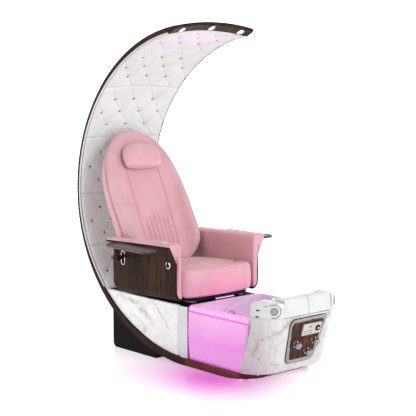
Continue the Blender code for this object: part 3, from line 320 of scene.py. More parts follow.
# Veins of the marble pattern as lines from one (reach, height) to another, with a width and a strength.
# Reach runs forward along the sides and on round the corners of the nose.
VEINS = (((-0.318, 0.360), (-0.225, 0.212), 0.0035, 0.85), ((-0.400, 0.290), (-0.318, 0.204), 0.012, 0.55),
         ((-0.398, 0.205), (-0.360, 0.135), 0.010, 0.50), ((-0.540, 0.338), (-0.405, 0.312), 0.009, 0.60),
         ((0.262, 0.180), (0.320, 0.262), 0.014, 0.70), ((0.295, 0.246), (0.405, 0.300), 0.013, 0.65),
         ((0.395, 0.288), (0.475, 0.378), 0.008, 0.75), ((0.258, 0.200), (0.300, 0.150), 0.004, 0.55),
         ((0.370, 0.110), (0.410, 0.098), 0.006, 0.50), ((0.560, 0.070), (0.640, 0.180), 0.009, 0.45))
RUN_X, RUN_Y = -0.7422, -0.6702


def marble(name, dark, light):
    """White marble pattern: faint grey clouds and broken ochre veins."""
    paint = Paint(name, {"Coat Weight": 0.5, "Coat Roughness": 0.06})
    place = paint.where()
    warp = paint.vector("SUBTRACT", paint.noise(place, 9.0, 6.0, 0.6, output="Color"), (0.5, 0.5, 0.5))
    bent = paint.vector("ADD", place, paint.vector("MULTIPLY", warp, (0.11, 0.11, 0.11)))
    x, y, z = paint.axes(bent)
    reach = abs(x) * RUN_X + y * RUN_Y
    stain = None
    for (r0, z0), (r1, z1), width, strength in VEINS:
        length = math.hypot(r1 - r0, z1 - z0)
        run, rise = (r1 - r0) / length, (z1 - z0) / length
        right, up = reach - r0, z - z0
        along, off = right * run + up * rise, right * rise - up * run
        past = paint.math("MAXIMUM", abs(along - length / 2) - length / 2, 0.0)
        away = paint.math("SQRT", off * off + past * past)
        fade = paint.math("MAXIMUM", 1.0 - away / (2.8 * width), 0.0) ** 1.5 * strength
        stain = paint.math("MAXIMUM", stain, fade) if stain else fade
    broken = paint.ramp(paint.noise(place, 26.0, 4.0, 0.6), (0.36, (0.10, 0.10, 0.10)), (0.58, (1, 1, 1)))
    field = abs(paint.noise(bent, 5.0, 5.0, 0.55) - 0.5)
    hair = paint.math("MAXIMUM", paint.range(field, 1.0, -40.0), 0.0) * 0.16
    clouds = paint.ramp(paint.noise(bent, 5.5, 6.0, 0.6), (0.34, dark), (0.60, light))
    veins = paint.math("MAXIMUM", stain * broken, hair)
    return paint.finish({"Base Color": paint.mix(veins, clouds, (0.30, 0.175, 0.100, 1.0)),
                         "Roughness": paint.range(paint.noise(place, 30.0), 0.12, 0.24)})


def metal(name, colour, low, high, stretch=(1.0, 1.0, 1.0)):
    """Metal whose polish varies a little along the stretch."""
    paint = Paint(name, {"Metallic": 1.0})
    streak = paint.noise(paint.where(stretch), 60.0, 4.0)
    bright = [min(c * 1.08, 1.0) for c in colour]
    return paint.finish({"Base Color": paint.ramp(streak, (0.3, colour), (0.7, bright)),
                         "Roughness": paint.range(streak, low, high)})


def moulded(name, dark, light, low, high, coat=0.0, texture=0.05, shine=0.5):
    """Moulded or painted surface with a fine orange peel."""
    paint = Paint(name, {"Coat Weight": coat, "Coat Roughness": 0.08, "Specular IOR Level": shine})
    place = paint.where()
    return paint.finish({"Base Color": paint.ramp(paint.noise(place, 9.0, 4.0), (0.35, dark), (0.68, light)),
                         "Roughness": paint.range(paint.noise(place, 70.0, 4.0), low, high),
                         "Normal": paint.bump(paint.noise(place, 900.0, 2.0), texture, 0.0005)})


def glow_acrylic(name):
    """Translucent acrylic lit from inside: lilac, magenta along its edges and paler on the inner walls."""
    paint = Paint(name, {"Coat Weight": 0.4, "Coat Roughness": 0.05, "Roughness": 0.25})
    place = paint.where()
    y, z = paint.axes(place)[1:]
    rise = (z - PLINTH_TOP) / BASIN_HIGH
    level = rise + (paint.noise(place, 5.0, 2.0) * 0.16 - 0.08)
    tint = paint.ramp(level, (0.00, (0.84, 0.38, 0.80)), (0.22, (0.84, 0.35, 0.79)),
                      (0.36, (0.85, 0.26, 0.78)), (0.70, (0.90, 0.37, 0.80)),
                      (0.90, (0.92, 0.47, 0.84)), (1.00, (0.92, 0.50, 0.85)))
    foot = rise * BASIN_HIGH
    edge = abs(y - rise * GLASS_RAKE - GLASS_FRONT_LOW)
    for line in (abs(y - GLASS_REAR), paint.math("MAXIMUM", foot, 0.0), abs(foot - RIM_LINE) * 2.0):
        edge = paint.math("MINIMUM", edge, line)
    edge = paint.ramp(edge / 0.022, (0.15, (1, 1, 1)), (0.95, (0, 0, 0)))
    tint = paint.mix(edge, tint, (0.86, 0.10, 0.74, 1.0))
    surface = paint.add("ShaderNodeNewGeometry").outputs
    outward = paint.vector("SUBTRACT", Field(paint, surface["Position"]), BASIN_CENTRE)
    facing = paint.vector("DOT_PRODUCT", outward, Field(paint, surface["Normal"]))
    inside = paint.math("LESS_THAN", facing, 0.0)
    folds = paint.ramp(paint.noise(paint.where((3.0, 3.0, 14.0)), 1.6, 4.0, 0.55, 1.2),
                       (0.35, (0.76, 0.54, 0.74)), (0.62, (0.84, 0.70, 0.83)))
    tint = paint.mix(inside, tint, folds)
    strength = paint.range(paint.noise(place, 4.0, 2.0), 0.57, 0.69) * paint.range(inside, 1.0, 0.62)
    return paint.finish({"Base Color": paint.mix(0.72, tint, (0.05, 0.02, 0.05, 1.0)), "Emission Color": tint,
                         "Emission Strength": strength})


def light(name, colour, strength):
    """Lit diffuser with a faint pattern of diodes behind it."""
    paint = Paint(name, {"Base Color": (*colour, 1.0), "Emission Color": (*colour, 1.0)})
    diodes = paint.noise(paint.where(), 90.0, 1.0)
    return paint.finish({"Emission Strength": paint.range(diodes, 0.85 * strength, strength)})


PINK = leather("pink_leather", (0.63, 0.338, 0.380), (0.70, 0.396, 0.440))
WHITE = leather("white_leather", (0.61, 0.622, 0.610), (0.68, 0.692, 0.678), 0.12)
PIPING = leather("piping_leather", (0.46, 0.44, 0.44), (0.58, 0.56, 0.555), 0.3)
WALNUT_BAND = walnut("walnut_band", (34.0, 1.8, 1.8))
WALNUT_SIDE = walnut("walnut_side", (18.0, 26.0, 3.0), 0.82)
WALNUT_PANEL = walnut("walnut_panel", (75.0, 9.0, 9.0), 1.9)
WALNUT_PLINTH = walnut("walnut_plinth", (26.0, 2.6, 26.0), 2.6)
# One marble in two copies: the side copy is painted lighter as painted light, the nose copy darker as painted
# shade
MARBLE_PAINTED_LIGHTER = marble("marble_side_painted_lighter", (0.76, 0.77, 0.765), (0.87, 0.88, 0.87))
MARBLE_NOSE_PAINTED_DARKER = marble("marble_nose_painted_darker", (0.50, 0.50, 0.50), (0.64, 0.638, 0.63))
CHROME = metal("chrome", (0.66, 0.67, 0.68), 0.04, 0.11)
STEEL = metal("rail_steel", (0.52, 0.52, 0.54), 0.24, 0.42, (30.0, 0.6, 30.0))
BLACK_STEEL = moulded("black_steel", (0.010, 0.010, 0.011), (0.015, 0.015, 0.016), 0.50, 0.65, 0.0, 0.25, 0.1)
BROWN_STEEL = moulded("brown_steel", (0.016, 0.008, 0.005), (0.026, 0.012, 0.008), 0.45, 0.60, 0.0, 0.12, 0.1)
BLACK = moulded("black_plastic", (0.0035, 0.0035, 0.0035), (0.007, 0.007, 0.007), 0.50, 0.65, 0.0, 0.12, 0.06)
# Dark grey for tubes laid in seams and grooves, as painted shade
GROOVE_SHADE = moulded("groove_painted_shade", (0.035, 0.035, 0.035), (0.06, 0.06, 0.06), 0.45, 0.60)
GLOSS_WHITE = moulded("white_gloss", (0.62, 0.62, 0.62), (0.68, 0.68, 0.68), 0.18, 0.28, 0.4, 0.02)
TRAY = moulded("tray_plastic", (0.020, 0.020, 0.021), (0.034, 0.034, 0.035), 0.28, 0.42, 0.15, 0.03, 0.35)
SILVER = moulded("keypad_silver", (0.50, 0.45, 0.43), (0.60, 0.55, 0.52), 0.30, 0.42, 0.1, 0.06)
ACRYLIC = glow_acrylic("glow_glass")
# Chrome of the bezel and knobs darkened as a painted reflection of dark surroundings
CHROME_DARK_REFLECTION = metal("chrome_painted_dark_reflection", (0.27, 0.27, 0.28), 0.04, 0.12)
# Slightly rougher chrome for the pillars, its colour darkened as painted shade in its reflections
SATIN_CHROME_SHADED = metal("satin_chrome_painted_darker", (0.46, 0.465, 0.47), 0.06, 0.14)
LILAC = moulded("lilac_plastic", (0.56, 0.34, 0.55), (0.62, 0.40, 0.60), 0.25, 0.40, 0.2)
CRYSTAL = metal("crystal", (0.20, 0.19, 0.18), 0.04, 0.10)
LENS = light("lamp_lens", (1.0, 0.97, 0.94), 2.2)
LED = light("led_pink", (1.0, 0.28, 0.85), 6.0)
SCREEN = light("screen_green", (0.05, 0.28, 0.14), 0.35)

FINISH = {"walnut": WALNUT_BAND, "white_leather": WHITE, "pink_leather": PINK, "marble": MARBLE_PAINTED_LIGHTER,
          "white_gloss": GLOSS_WHITE, "chrome": CHROME, "rail_steel": STEEL, "black_steel": BLACK_STEEL,
          "black_plastic": BLACK, "glow_glass": ACRYLIC, "keypad_silver": SILVER, "tray_plastic": TRAY}
# Finishes of single nodes, or of all nodes whose names start with these words
SPECIAL = {"side_shell": WALNUT_SIDE, "control_plate": WALNUT_PANEL, "plinth": WALNUT_PLINTH,
           "nose_shell": MARBLE_NOSE_PAINTED_DARKER, "tray_arm": BROWN_STEEL, "jet": LILAC, "control_bezel": CHROME_DARK_REFLECTION,
           "knob": CHROME_DARK_REFLECTION, "pillar": SATIN_CHROME_SHADED}


def paint_nodes():
    for entry in frame["record"]["subparts"]:
        name = entry["node"]
        chosen = FINISH[entry["material_slot"]]
        for word in (name.rsplit("_", 1)[0], name):
            chosen = SPECIAL.get(word, chosen)
        for place in frame["nodes"][name].material_slots:
            place.material = chosen


def round_about(side, other, count):
    """Unit vectors all round, from one axis towards the other."""
    return [side * math.cos(2 * math.pi * k / count) + other * math.sin(2 * math.pi * k / count)
            for k in range(count)]


class Form:
    """Points and faces of one visible piece."""

    def __init__(self):
        self.points = []
        self.faces = []

    def loft(self, rings, closed=False):
        base, count = len(self.points), len(rings[0])
        for ring in rings:
            self.points += [Vector(p) for p in ring]
        for row in range(len(rings) if closed else len(rings) - 1):
            here = base + row * count
            there = base + (row + 1) % len(rings) * count
            for i in range(count):
                j = (i + 1) % count
                self.faces.append((here + i, here + j, there + j, there + i))
        if not closed:
            self.faces.append(tuple(reversed(range(base, base + count))))
            self.faces.append(tuple(range(len(self.points) - count, len(self.points))))
        return self

    def slab(self, front, back):
        """Close a fine front grid against a coarser back grid that shares its border."""
        rows, cols = len(front), len(front[0])
        back_rows, back_cols = len(back), len(back[0])
        row_step, col_step = (rows - 1) // (back_rows - 1), (cols - 1) // (back_cols - 1)
        self.points += [Vector(p) for grid in (front, back) for row in grid for p in row]
        base = rows * cols
        for start, high, wide in ((0, rows, cols), (base, back_rows, back_cols)):
            for r in range(high - 1):
                for c in range(wide - 1):
                    a = start + r * wide + c
                    self.faces.append((a, a + 1, a + wide + 1, a + wide))
        for r, far in ((0, 0), (rows - 1, back_rows - 1)):
            for c in range(back_cols - 1):
                edge = [r * cols + c * col_step + k for k in range(col_step + 1)]
                self.faces.append((*edge, base + far * back_cols + c + 1, base + far * back_cols + c))
        for c, far in ((0, 0), (cols - 1, back_cols - 1)):
            for r in range(back_rows - 1):
                edge = [(r * row_step + k) * cols + c for k in range(row_step + 1)]
                self.faces.append((*edge, base + (r + 1) * back_cols + far, base + r * back_cols + far))
        return self

    def tube(self, path, radius, sides=8, closed=False):
        """Round cord along a path."""
        path = [Vector(p) for p in path]
        count = len(path)
        rings = []
        side = None
        for k, place in enumerate(path):
            after = path[(k + 1) % count] if closed or k + 1 < count else place
            before = path[k - 1] if closed or k else place
            aim = (after - before).normalized()
            if side is None:
                side = aim.orthogonal()
            side = (side - aim * side.dot(aim)).normalized()
            rings.append([place + spoke * radius for spoke in round_about(side, aim.cross(side), sides)])
        return self.loft(rings, closed)

    def turned(self, profile, centre, axis, sides=24):
        """Turned form from radii and heights along an axis."""
        up = Vector(axis).normalized()
        side = up.orthogonal().normalized()
        spokes = round_about(side, up.cross(side), sides)
        return self.loft([[Vector(centre) + spoke * radius + up * height for spoke in spokes]
                          for radius, height in profile])

    def make(self, name, finish, body, slot, subdivide=0, crisp=40.0):
        mesh = bpy.data.meshes.new(name)
        mesh.from_pydata(self.points, [], self.faces)
        mesh.update()
        mesh.materials.append(finish)
        mesh.shade_smooth()
        if not subdivide:
            mesh.set_sharp_from_angle(angle=math.radians(crisp))
        piece = bpy.data.objects.new(name, mesh)
        scene.collection.objects.link(piece)
        if subdivide:
            step = piece.modifiers.new("smooth", "SUBSURF")
            step.levels = subdivide
            step.render_levels = subdivide
        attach(piece, body)
        return piece


def upholster(form, name, node, body, slot, subdivide=0):
    """A padded piece that stands for a soft CAD solid."""
    piece = form.make(name, FINISH[slot], body, slot, subdivide)
    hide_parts(node)


def arc_point(angle):
    turn = math.radians(angle)
    reach = ARC_TOP_REACH if angle >= 0 else ARC_LOW_REACH
    rise = ARC_TOP_RISE if angle >= 0 else ARC_Z - PAN_HEIGHT
    place = Vector((0.0, ARC_REAR - reach + reach * math.cos(turn), ARC_Z + rise * math.sin(turn)))
    outward = Vector((0.0, math.cos(turn) / reach, math.sin(turn) / rise)).normalized()
    return place, outward


def band_thickness(angle):
    if angle >= 0:
        stout = blend(BAND_MIDDLE, BAND_TIP, smooth(angle / TIP_ANGLE))
        return blend(BAND_EDGE, stout, min((TIP_ANGLE - angle) / LIP_ANGLE, 1.0))
    return blend(BAND_MIDDLE, PLINTH_THICK, smooth(-angle / 70.0))


def band_point(x, angle, depth):
    place, outward = arc_point(angle)
    dish = DISH * smooth((angle + 10.0) / 60.0) * (1.0 - (x / BAND_HALF) ** 2)
    point = place + outward * (dish - depth)
    return Vector((x, point.y, point.z))


def liner_seam(index):
    """Angle of the seam above a panel."""
    if index == 0:
        return LINER_TOP
    if index == LINER_PANELS:
        return LINER_LOW
    return SEAM_FIRST - (index - 1) * SEAM_PITCH


TUFT_ROWS = (0.285, 0.53, 0.775)
BUTTONS = [(TUFT_PITCH * k, v) for v in (TUFT_ROWS[0], TUFT_ROWS[2]) for k in (-1, 0, 1)]
BUTTONS += [(TUFT_PITCH * k, TUFT_ROWS[1]) for k in (-1.5, -0.5, 0.5, 1.5)]


def pleats():
    """Straight creases between neighbouring buttons, and on to the seams and the edges, in diamonds."""
    lines = []
    for k in (-1, 0, 1):
        for v, seam in ((TUFT_ROWS[0], 0.0), (TUFT_ROWS[2], 1.0)):
            here = (TUFT_PITCH * k, v)
            for step in (-0.5, 0.5):
                lines.append((here, (TUFT_PITCH * (k + step), TUFT_ROWS[1])))
                lines.append((here, (TUFT_PITCH * (k + step), seam)))
    for side in (-1, 1):
        for v in (TUFT_ROWS[0], TUFT_ROWS[2]):
            lines.append(((1.5 * side * TUFT_PITCH, TUFT_ROWS[1]), (2.0 * side * TUFT_PITCH, v)))
    return lines


PLEATS = pleats()


def liner_height(x, v, tall):
    """Height of the tufted pad of a panel: pinched at the buttons, creased along the pleats."""
    sink = 0.0
    for bx, bv in BUTTONS:
        away = math.hypot(x - bx, (v - bv) * tall)
        sink = max(sink, 0.0090 * bell(away, 0.016) + 0.0050 * bell(away, 0.045))
    crease = 0.0
    for (ax, av), (bx, bv) in PLEATS:
        run, rise = bx - ax, (bv - av) * tall
        share = ((x - ax) * run + (v - av) * tall * rise) / (run * run + rise * rise)
        share = min(max(share, 0.0), 1.0)
        away = math.hypot(x - ax - share * run, (v - av) * tall - share * rise)
        crease = max(crease, 0.0042 * bell(away, 0.0045) + 0.0016 * bell(away, 0.018))
    return LINER_THICK - max(sink, crease)


def tufting(tall, across, rows, cut):
    """Pad heights over one panel, or over the upper share of it, lower along its rim."""
    grid = []
    for r in range(rows + 1):
        v = cut * r / rows
        ends = min(smooth(v / 0.035), smooth((cut - v) / 0.035))
        row = []
        for x in across:
            rim = min(ends, smooth((across[-1] - abs(x)) / 0.018))
            row.append(liner_height(x, v, tall) * blend(0.55, 1.0, rim))
        grid.append(row)
    return grid


def liner():
    """Six tufted panels with their crystal buttons, and the white cord and the seam along both edges."""
    half = BAND_HALF - LINER_INSET
    cols, rows = 144, 84
    across = [half * (2.0 * c / cols - 1.0) for c in range(cols + 1)]
    seam = math.degrees(GAP)
    gem = ((0.0064, 0.0), (0.0092, 0.0030), (0.0058, 0.0060), (0.0030, 0.0064))
    grids = {}
    for index in range(LINER_PANELS):
        top, low = liner_seam(index) - seam, liner_seam(index + 1) + seam
        full = low
        if index + 1 == LINER_PANELS:
            full = top - SEAM_PITCH
            low = max(full, low - LINER_TAIL)
        tall = round(math.radians(top - full) * ARC_LOW_REACH, 4)
        cut = round((top - low) / (top - full), 4)
        if (tall, cut) not in grids:
            grids[tall, cut] = tufting(tall, across, rows, cut)
        front, back = [], []
        for r, pads in enumerate(grids[tall, cut]):
            angle = blend(top, low, r / rows)
            base = band_thickness(angle) + BACKING
            front.append([band_point(x, angle, base + pad) for x, pad in zip(across, pads)])
            if r % 6 == 0:
                back.append([band_point(x, angle, base) for x in across[::8]])
        number = index + 1
        upholster(Form().slab(front, back), "tufted_panel_%d" % number, "liner_panel_%d" % number,
                  "base", "white_leather")
        gems = Form()
        for x, v in BUTTONS:
            angle = blend(top, full, v)
            deep = band_thickness(angle) + BACKING + liner_height(x, v, tall)
            gems.turned(gem, band_point(x, angle, deep - 0.001), -arc_point(angle)[1], 8)
        gems.make("crystal_buttons_%d" % number, CRYSTAL, "base", "chrome", crisp=5.0)
    angles = [blend(LINER_TOP - 0.4, LINER_LOW + 0.3, k / 120) for k in range(121)]
    # The seams are grey tubes sunk beside each cord: painted shade in the joint
    for name, finish, out, deep, radius, sides in (("cords", WHITE, 0.0062, 0.0062, 0.0056, 10),
                                                   ("seams", GROOVE_SHADE, 0.0004, BACKING + 0.0092, 0.0013, 6)):
        edges = Form()
        for side in (-1, 1):
            path = [band_point(side * (half + out), angle, band_thickness(angle) + deep) for angle in angles]
            edges.tube(path, radius, sides)
        edges.make("liner_edge_" + name, finish, "base", "white_leather")


def lip_face(x):
    """Low front and low rear corners of the lip's slanted face at one x."""
    near, far = TIP_ANGLE, TIP_ANGLE - LIP_ANGLE
    front = band_thickness(near) + BACKING / 2 + FASCIA_EDGE
    rear = band_thickness(far) + BACKING / 2 + FASCIA_DEPTH
    return band_point(x, near, front), band_point(x, far, rear)


def light_seat(x):
    front, rear = lip_face(x)
    along = lip_face(x + LIGHT_RADIUS)[1] - lip_face(x - LIGHT_RADIUS)[1]
    return (front + rear) / 2, along.cross(front - rear).normalized()


def lamp_lenses():
    dome = ((0.66, 0.0020), (0.60, 0.0030), (0.36, 0.0038), (0.12, 0.0040))
    profile = [(share * LIGHT_RADIUS, height) for share, height in dome]
    lenses = Form()
    for x in (-LIGHT_SPREAD, 0.0, LIGHT_SPREAD):
        lenses.turned(profile, *light_seat(x))
    lenses.make("lamp_lenses", LENS, "base", "white_gloss")


SEAT_STEPS = (0.01, 0.03, 0.05, 0.07, 0.10, 0.13, 0.16, 0.20, 0.24, 0.28,
              0.33, 0.38, 0.45, 0.55, 0.70, 0.85, 1.0)


def seat_profile(x):
    """Side section of the seat at one x, bottom front to bottom rear."""
    share = abs(x) / SEAT_HALF
    end = smooth((share - 0.88) / 0.12)
    sewn = bell(abs(x) - SEAM_X, 0.006)
    crown = SEAT_CROWN * (1.0 - share ** 2)
    front = SEAT_FRONT + SEAT_BOW * share ** 4 + 0.016 * end + 0.003 * sewn
    top = SEAT_TOP - 0.016 * end - 0.003 * sewn
    rear = SEAT_REAR - 0.010 * end
    low = CARRIAGE_TOP + GAP + 0.010 * end
    bow, radius = 0.018, 0.032
    sewn_line = 0.03 + 0.30 * share ** 2
    ring = [(front + bow - bow * math.sin(turn), low + bow * (1.0 - math.cos(turn))) for turn in quarter(4)]
    for rise in (0.25, 0.5, 0.75):
        bulge = 0.006 * (1.0 - end) * math.sin(math.pi * rise)
        ring.append((front - bulge, blend(low + bow, top - radius, rise)))
    for k, turn in enumerate(quarter(8)):
        lift = crown * 0.2 * k / 8
        ring.append((front + radius - radius * math.cos(turn), top - radius + radius * math.sin(turn) + lift))
    for along in SEAT_STEPS:
        dome = crown * (0.2 + 0.8 * smooth((along - sewn_line) / 0.28))
        crease = 0.011 * bell(along - sewn_line, 0.026)
        ring.append((blend(front + radius, rear - 0.02, along), top + dome - crease - 0.022 * along))
    ring += [(rear - 0.004, top - 0.030), (rear, top - 0.050), (rear, low + 0.02), (rear - 0.006, low)]
    return [Vector((x, y, z)) for y, z in ring]


def seat():
    """Crowned seat cushion with two sewn channels and their contrast cord."""
    right = [0.0, 0.04, 0.08, 0.12, 0.15, 0.166, 0.174, SEAM_X, 0.186, 0.194, 0.21, 0.23]
    right += [SEAT_HALF * s for s in (0.86, 0.90, 0.935, 0.965, 0.985, 1.0)]
    columns = [-x for x in reversed(right[1:])] + right
    form = Form().loft([seat_profile(x) for x in columns])
    upholster(form, "seat_leather", "seat_cushion", "seat", "pink_leather", 1)
    cords = Form()
    for side in (-1, 1):
        ring = seat_profile(side * SEAM_X)
        cords.tube([p + Vector((0.0, 0.0, 0.0004)) for p in ring[1:35]], 0.0021, 8)
    cords.make("seat_piping", PIPING, "seat", "white_leather")


def arm_curve(offset):
    """Outer side of an arm's section, from the foot up into the flare, set in by an offset."""
    foot, wide, flare = ARM_FOOT - offset, ARM_OUTER - offset - ARM_INNER, ARM_FLARE - ARM_OUTER + offset
    curve = [(ARM_INNER + wide * math.sin(turn), ARM_LOW + offset + foot * (1.0 - math.cos(turn)))
             for turn in quarter(11)]
    return curve + [(ARM_FLARE - flare * math.cos(turn), FLARE_ROOT + (FLARE_RISE + offset) * math.sin(turn))
                    for turn in quarter(11)]


def arm_place(x, y, z, side):
    slope = blend(ARM_FOOT_SLOPE, ARM_TOP_SLOPE, (z - ARM_LOW) / (ARM_TOP - ARM_LOW))
    return Vector((side * x, y, z - slope * (y - ARM_FRONT)))


def arm_rear(z):
    rise = min((z - ARM_LOW) / ARM_CORNER, 1.0)
    return ARM_REAR - ARM_CORNER * (1.0 - math.sqrt(max(1.0 - (1.0 - rise) ** 2, 0.0)))


def arm_roll(tuck):
    """Top and inner side of an arm's section, drawn in by a tuck."""
    inner, outer, top = ARM_INNER + tuck, ARM_FLARE - 0.6 * tuck, ARM_TOP - 0.6 * tuck
    roll = [(outer + 0.002, top - 0.010), (outer + 0.001, top - 0.004), (outer - 0.005, top),
            (outer - 0.016, top + 0.002), (inner + 0.062, top + 0.0038), (inner + 0.045, top + ARM_CROWN),
            (inner + 0.028, top + 0.003), (inner + 0.012, top - 0.001), (inner + 0.003, top - 0.010),
            (inner, top - 0.024)]
    return roll + [(inner, blend(ARM_LOW, ARM_TOP, share)) for share in (0.7, 0.4, 0.12)]


def arms():
    """Upholstered arms, the wooden nosing round their fronts and the slotted plates of the tray arms."""
    tucks = ((0.0085, 0.013), (0.0078, 0.008), (0.0055, 0.0032), (0.002, 0.0006), (-0.006, 0.0))
    for word, side in SIDES:
        rings = []
        for forward, tuck in tucks:
            rings.append([arm_place(x, ARM_FRONT - forward, z, side)
                          for x, z in arm_curve(SKIN + GAP + tuck) + arm_roll(tuck)])
        for share in (0.25, 0.5, 0.75, 0.97, 0.99, 1.0):
            ring = []
            for x, z in arm_curve(SKIN + GAP) + arm_roll(0.0):
                ring.append(arm_place(x, blend(ARM_FRONT, arm_rear(z) - GAP, share), z, side))
            rings.append(ring)
        upholster(Form().loft(rings), "arm_leather_" + word, "arm_pad_" + word, "seat",
                  "pink_leather", 1)
        nosing = [arm_place(x, ARM_FRONT - 0.0012, z, side) for x, z in arm_curve(0.005)[2:]]
        Form().tube(nosing, 0.0042).make("arm_nosing_" + word, WALNUT_SIDE, "seat", "walnut")
        slot_plate(word, side)


def slot_plate(word, side):
    """Chrome frame round the slot in which the tray arm is set at its height."""
    high, wide, bar, corner = 0.042, 0.0175, 0.0040, 0.012
    centre = Vector((side * (ARM_OUTER + GAP), ARM_BAR_Y, ARM_BAR_Z + ARM_BAR_THICK / 2 - 0.012))
    path = []
    for start, (sy, sz) in enumerate(((1, 1), (-1, 1), (-1, -1), (1, -1))):
        for turn in quarter(5):
            turn += start * math.pi / 2
            path.append(Vector((sy * (wide - corner) + corner * math.cos(turn),
                                sz * (high - corner) + corner * math.sin(turn))))
    rings = []
    for reach in path:
        inner = reach * (1.0 - bar / reach.length)
        crest = (reach + inner) / 2
        section = ((0.0, reach), (0.0026, reach), (0.0034, crest), (0.0026, inner), (0.0, inner))
        rings.append([centre + Vector((side * out, *place)) for out, place in section])
    Form().loft(rings, True).make("slot_frame_" + word, CHROME, "seat", "chrome")
    # Black sheet in the slot's opening, as painted shade
    recess = [[centre + Vector((side * out, y * 0.76, z * 0.88)) for y, z in path] for out in (0.0, 0.0008)]
    Form().loft(recess).make("slot_recess_" + word, BLACK, "seat", "black_plastic")


BACK_UP = Vector((0.0, math.sin(math.radians(LEAN)), math.cos(math.radians(LEAN))))
BACK_OUT = Vector((0.0, -math.cos(math.radians(LEAN)), math.sin(math.radians(LEAN))))


def back_point(x, up, out):
    return HINGE + Vector((x, 0.0, 0.0)) + BACK_UP * up + BACK_OUT * out


def oval(turn, half, top, low, powers):
    c, s = math.cos(turn), math.sin(turn)
    if s >= 0:
        return half * signed_power(c, powers[0]), BACK_WIDE + (top - BACK_WIDE) * s ** powers[1]
    return half * signed_power(c, powers[2]), BACK_WIDE - (BACK_WIDE - low) * abs(s) ** powers[3]


def back_outer(turn):
    return oval(turn, BACK_HALF, BACK_TOP, BACK_LOW, (0.9, 0.8, 0.6, 0.5))


def back_inner(turn):
    return oval(turn, PANEL_HALF + RUN, PANEL_TOP, BACK_LOW + BOLSTER_FOOT, (0.35, 0.6, 0.35, 0.35))


def wing_height(up):
    rise = smooth((up - BACK_LOW + 0.05) / 0.20)
    fade = max((up - 0.25) / (BACK_TOP - 0.30), 0.0)
    return blend(WING_LOW, WING_TOP, fade) * rise


def shell_depth(up):
    fade = smooth((up - BACK_SHOULDER) / (BACK_TOP - BACK_SHOULDER))
    return BACK_DEPTH * (1.0 - BACK_TAPER * fade)


def swell(up):
    """How far the padding of the back stands out at its sides, above the arms."""
    return 0.010 * smooth((up - 0.37) / 0.08) * (1.0 - 0.7 * smooth((up - 0.80) / 0.15))


# Section of the bolster from its foot to its crest: share of the width, share of the height, swelling
RIDGE = ((0.0, 0.0, 1.0), (0.0, 0.20, 1.1), (0.0, 0.44, 1.1), (0.015, 0.62, 0.95), (0.05, 0.78, 0.6),
         (0.11, 0.90, 0.2), (0.17, 0.97, 0.0), (0.22, 1.0, 0.0), (0.30, 0.985, 0.0), (0.37, 0.93, 0.0))
CORD_SHARE = 0.185


def side_seam(turn):
    """Side seam of the back: it starts by the crest above the arm and ends up behind at the shoulder."""
    up = back_outer(turn)[1]
    rise = blend(0.90, 0.04, smooth((up - 0.24) / 0.66))
    for (s0, r0, w0), (s1, r1, w1) in zip(RIDGE, RIDGE[1:]):
        if r0 <= rise <= r1:
            part = (rise - r0) / (r1 - r0)
            share, wide = blend(s0, s1, part), blend(w0, w1, part)
            return wing_point(turn, share, lambda tall: rise * tall + 0.0006, wide)


def wing_point(turn, share, lift, wide=0.0):
    """Place on the horseshoe bolster: share 0 at the rim, 1 at the centre panel."""
    outer, inner = back_outer(turn), back_inner(turn)
    tall = max(wing_height(outer[1]), PANEL_FACE)
    rim = outer[0] + math.copysign(wide * swell(outer[1]), outer[0])
    return back_point(blend(rim, inner[0], share), blend(outer[1], inner[1], share), lift(tall))


def backrest():
    """Shell and wings with their contrast cords, and the welt round the centre panel."""
    steps = 88
    levels = ((1.0, 0.60, 0.0), (0.975, 0.72, 0.0), (0.91, 0.83, 0.2), (0.79, 0.92, 0.5), (0.60, 0.972, 0.8),
              (0.30, 1.0, 1.0), (0.06, 1.0, 1.0), (0.0, 0.99, 1.0))
    rings = []
    for depth, grow, wide in levels:
        ring = []
        for turn in turns(steps):
            x, up = back_outer(turn)
            up = BACK_WIDE + (up - BACK_WIDE) * grow
            x = x * grow + math.copysign(wide * swell(up), x)
            ring.append(back_point(x, up, -depth * shell_depth(up)))
        rings.append(ring)
    upholster(Form().loft(rings), "back_leather", "back_shell", "back", "pink_leather", 1)
    rings = []
    for turn in turns(steps):
        ring = [wing_point(turn, share, lambda tall, rise=rise: max(tall * rise, GAP), wide)
                for share, rise, wide in RIDGE]
        for share, sink in ((0.45, 0.28), (0.55, 0.60), (0.67, 0.83), (0.82, 0.96), (0.95, 1.0)):
            ring.append(wing_point(turn, share, lambda tall, sink=sink: blend(0.9 * tall, PANEL_FACE, sink)
                                   if tall > PANEL_FACE / 0.9 else PANEL_FACE))
        ring.append(wing_point(turn, 1.0, lambda tall: PANEL_FACE - 0.003))
        ring.append(wing_point(turn, 1.0, lambda tall: GAP))
        rings.append(ring)
    upholster(Form().loft(rings, True), "wing_leather", "back_bolster", "back", "pink_leather", 1)
    cords = Form()
    crest = [wing_point(t, CORD_SHARE, lambda tall: 0.978 * tall + 0.0012) for t in turns(120)]
    cords.tube(crest, 0.0024, 8, True)
    cords.tube([side_seam(t) for t in turns(120)], 0.0022, 8, True)
    cords.make("back_piping", PIPING, "back", "white_leather")
    welt = [back_point(*back_inner(t), PANEL_FACE - 0.0046) for t in turns(120)]
    Form().tube(welt, 0.0019, closed=True).make("panel_welt", PINK, "back", "pink_leather")


def panel_half(up):
    if up >= BACK_WIDE:
        s = ((up - BACK_WIDE) / (PANEL_TOP - BACK_WIDE)) ** (1 / 0.6)
    else:
        s = ((BACK_WIDE - up) / (BACK_WIDE - BACK_LOW - BOLSTER_FOOT)) ** (1 / 0.35)
    return PANEL_HALF * max(1.0 - s * s, 0.0) ** (0.35 / 2) - 2 * RUN


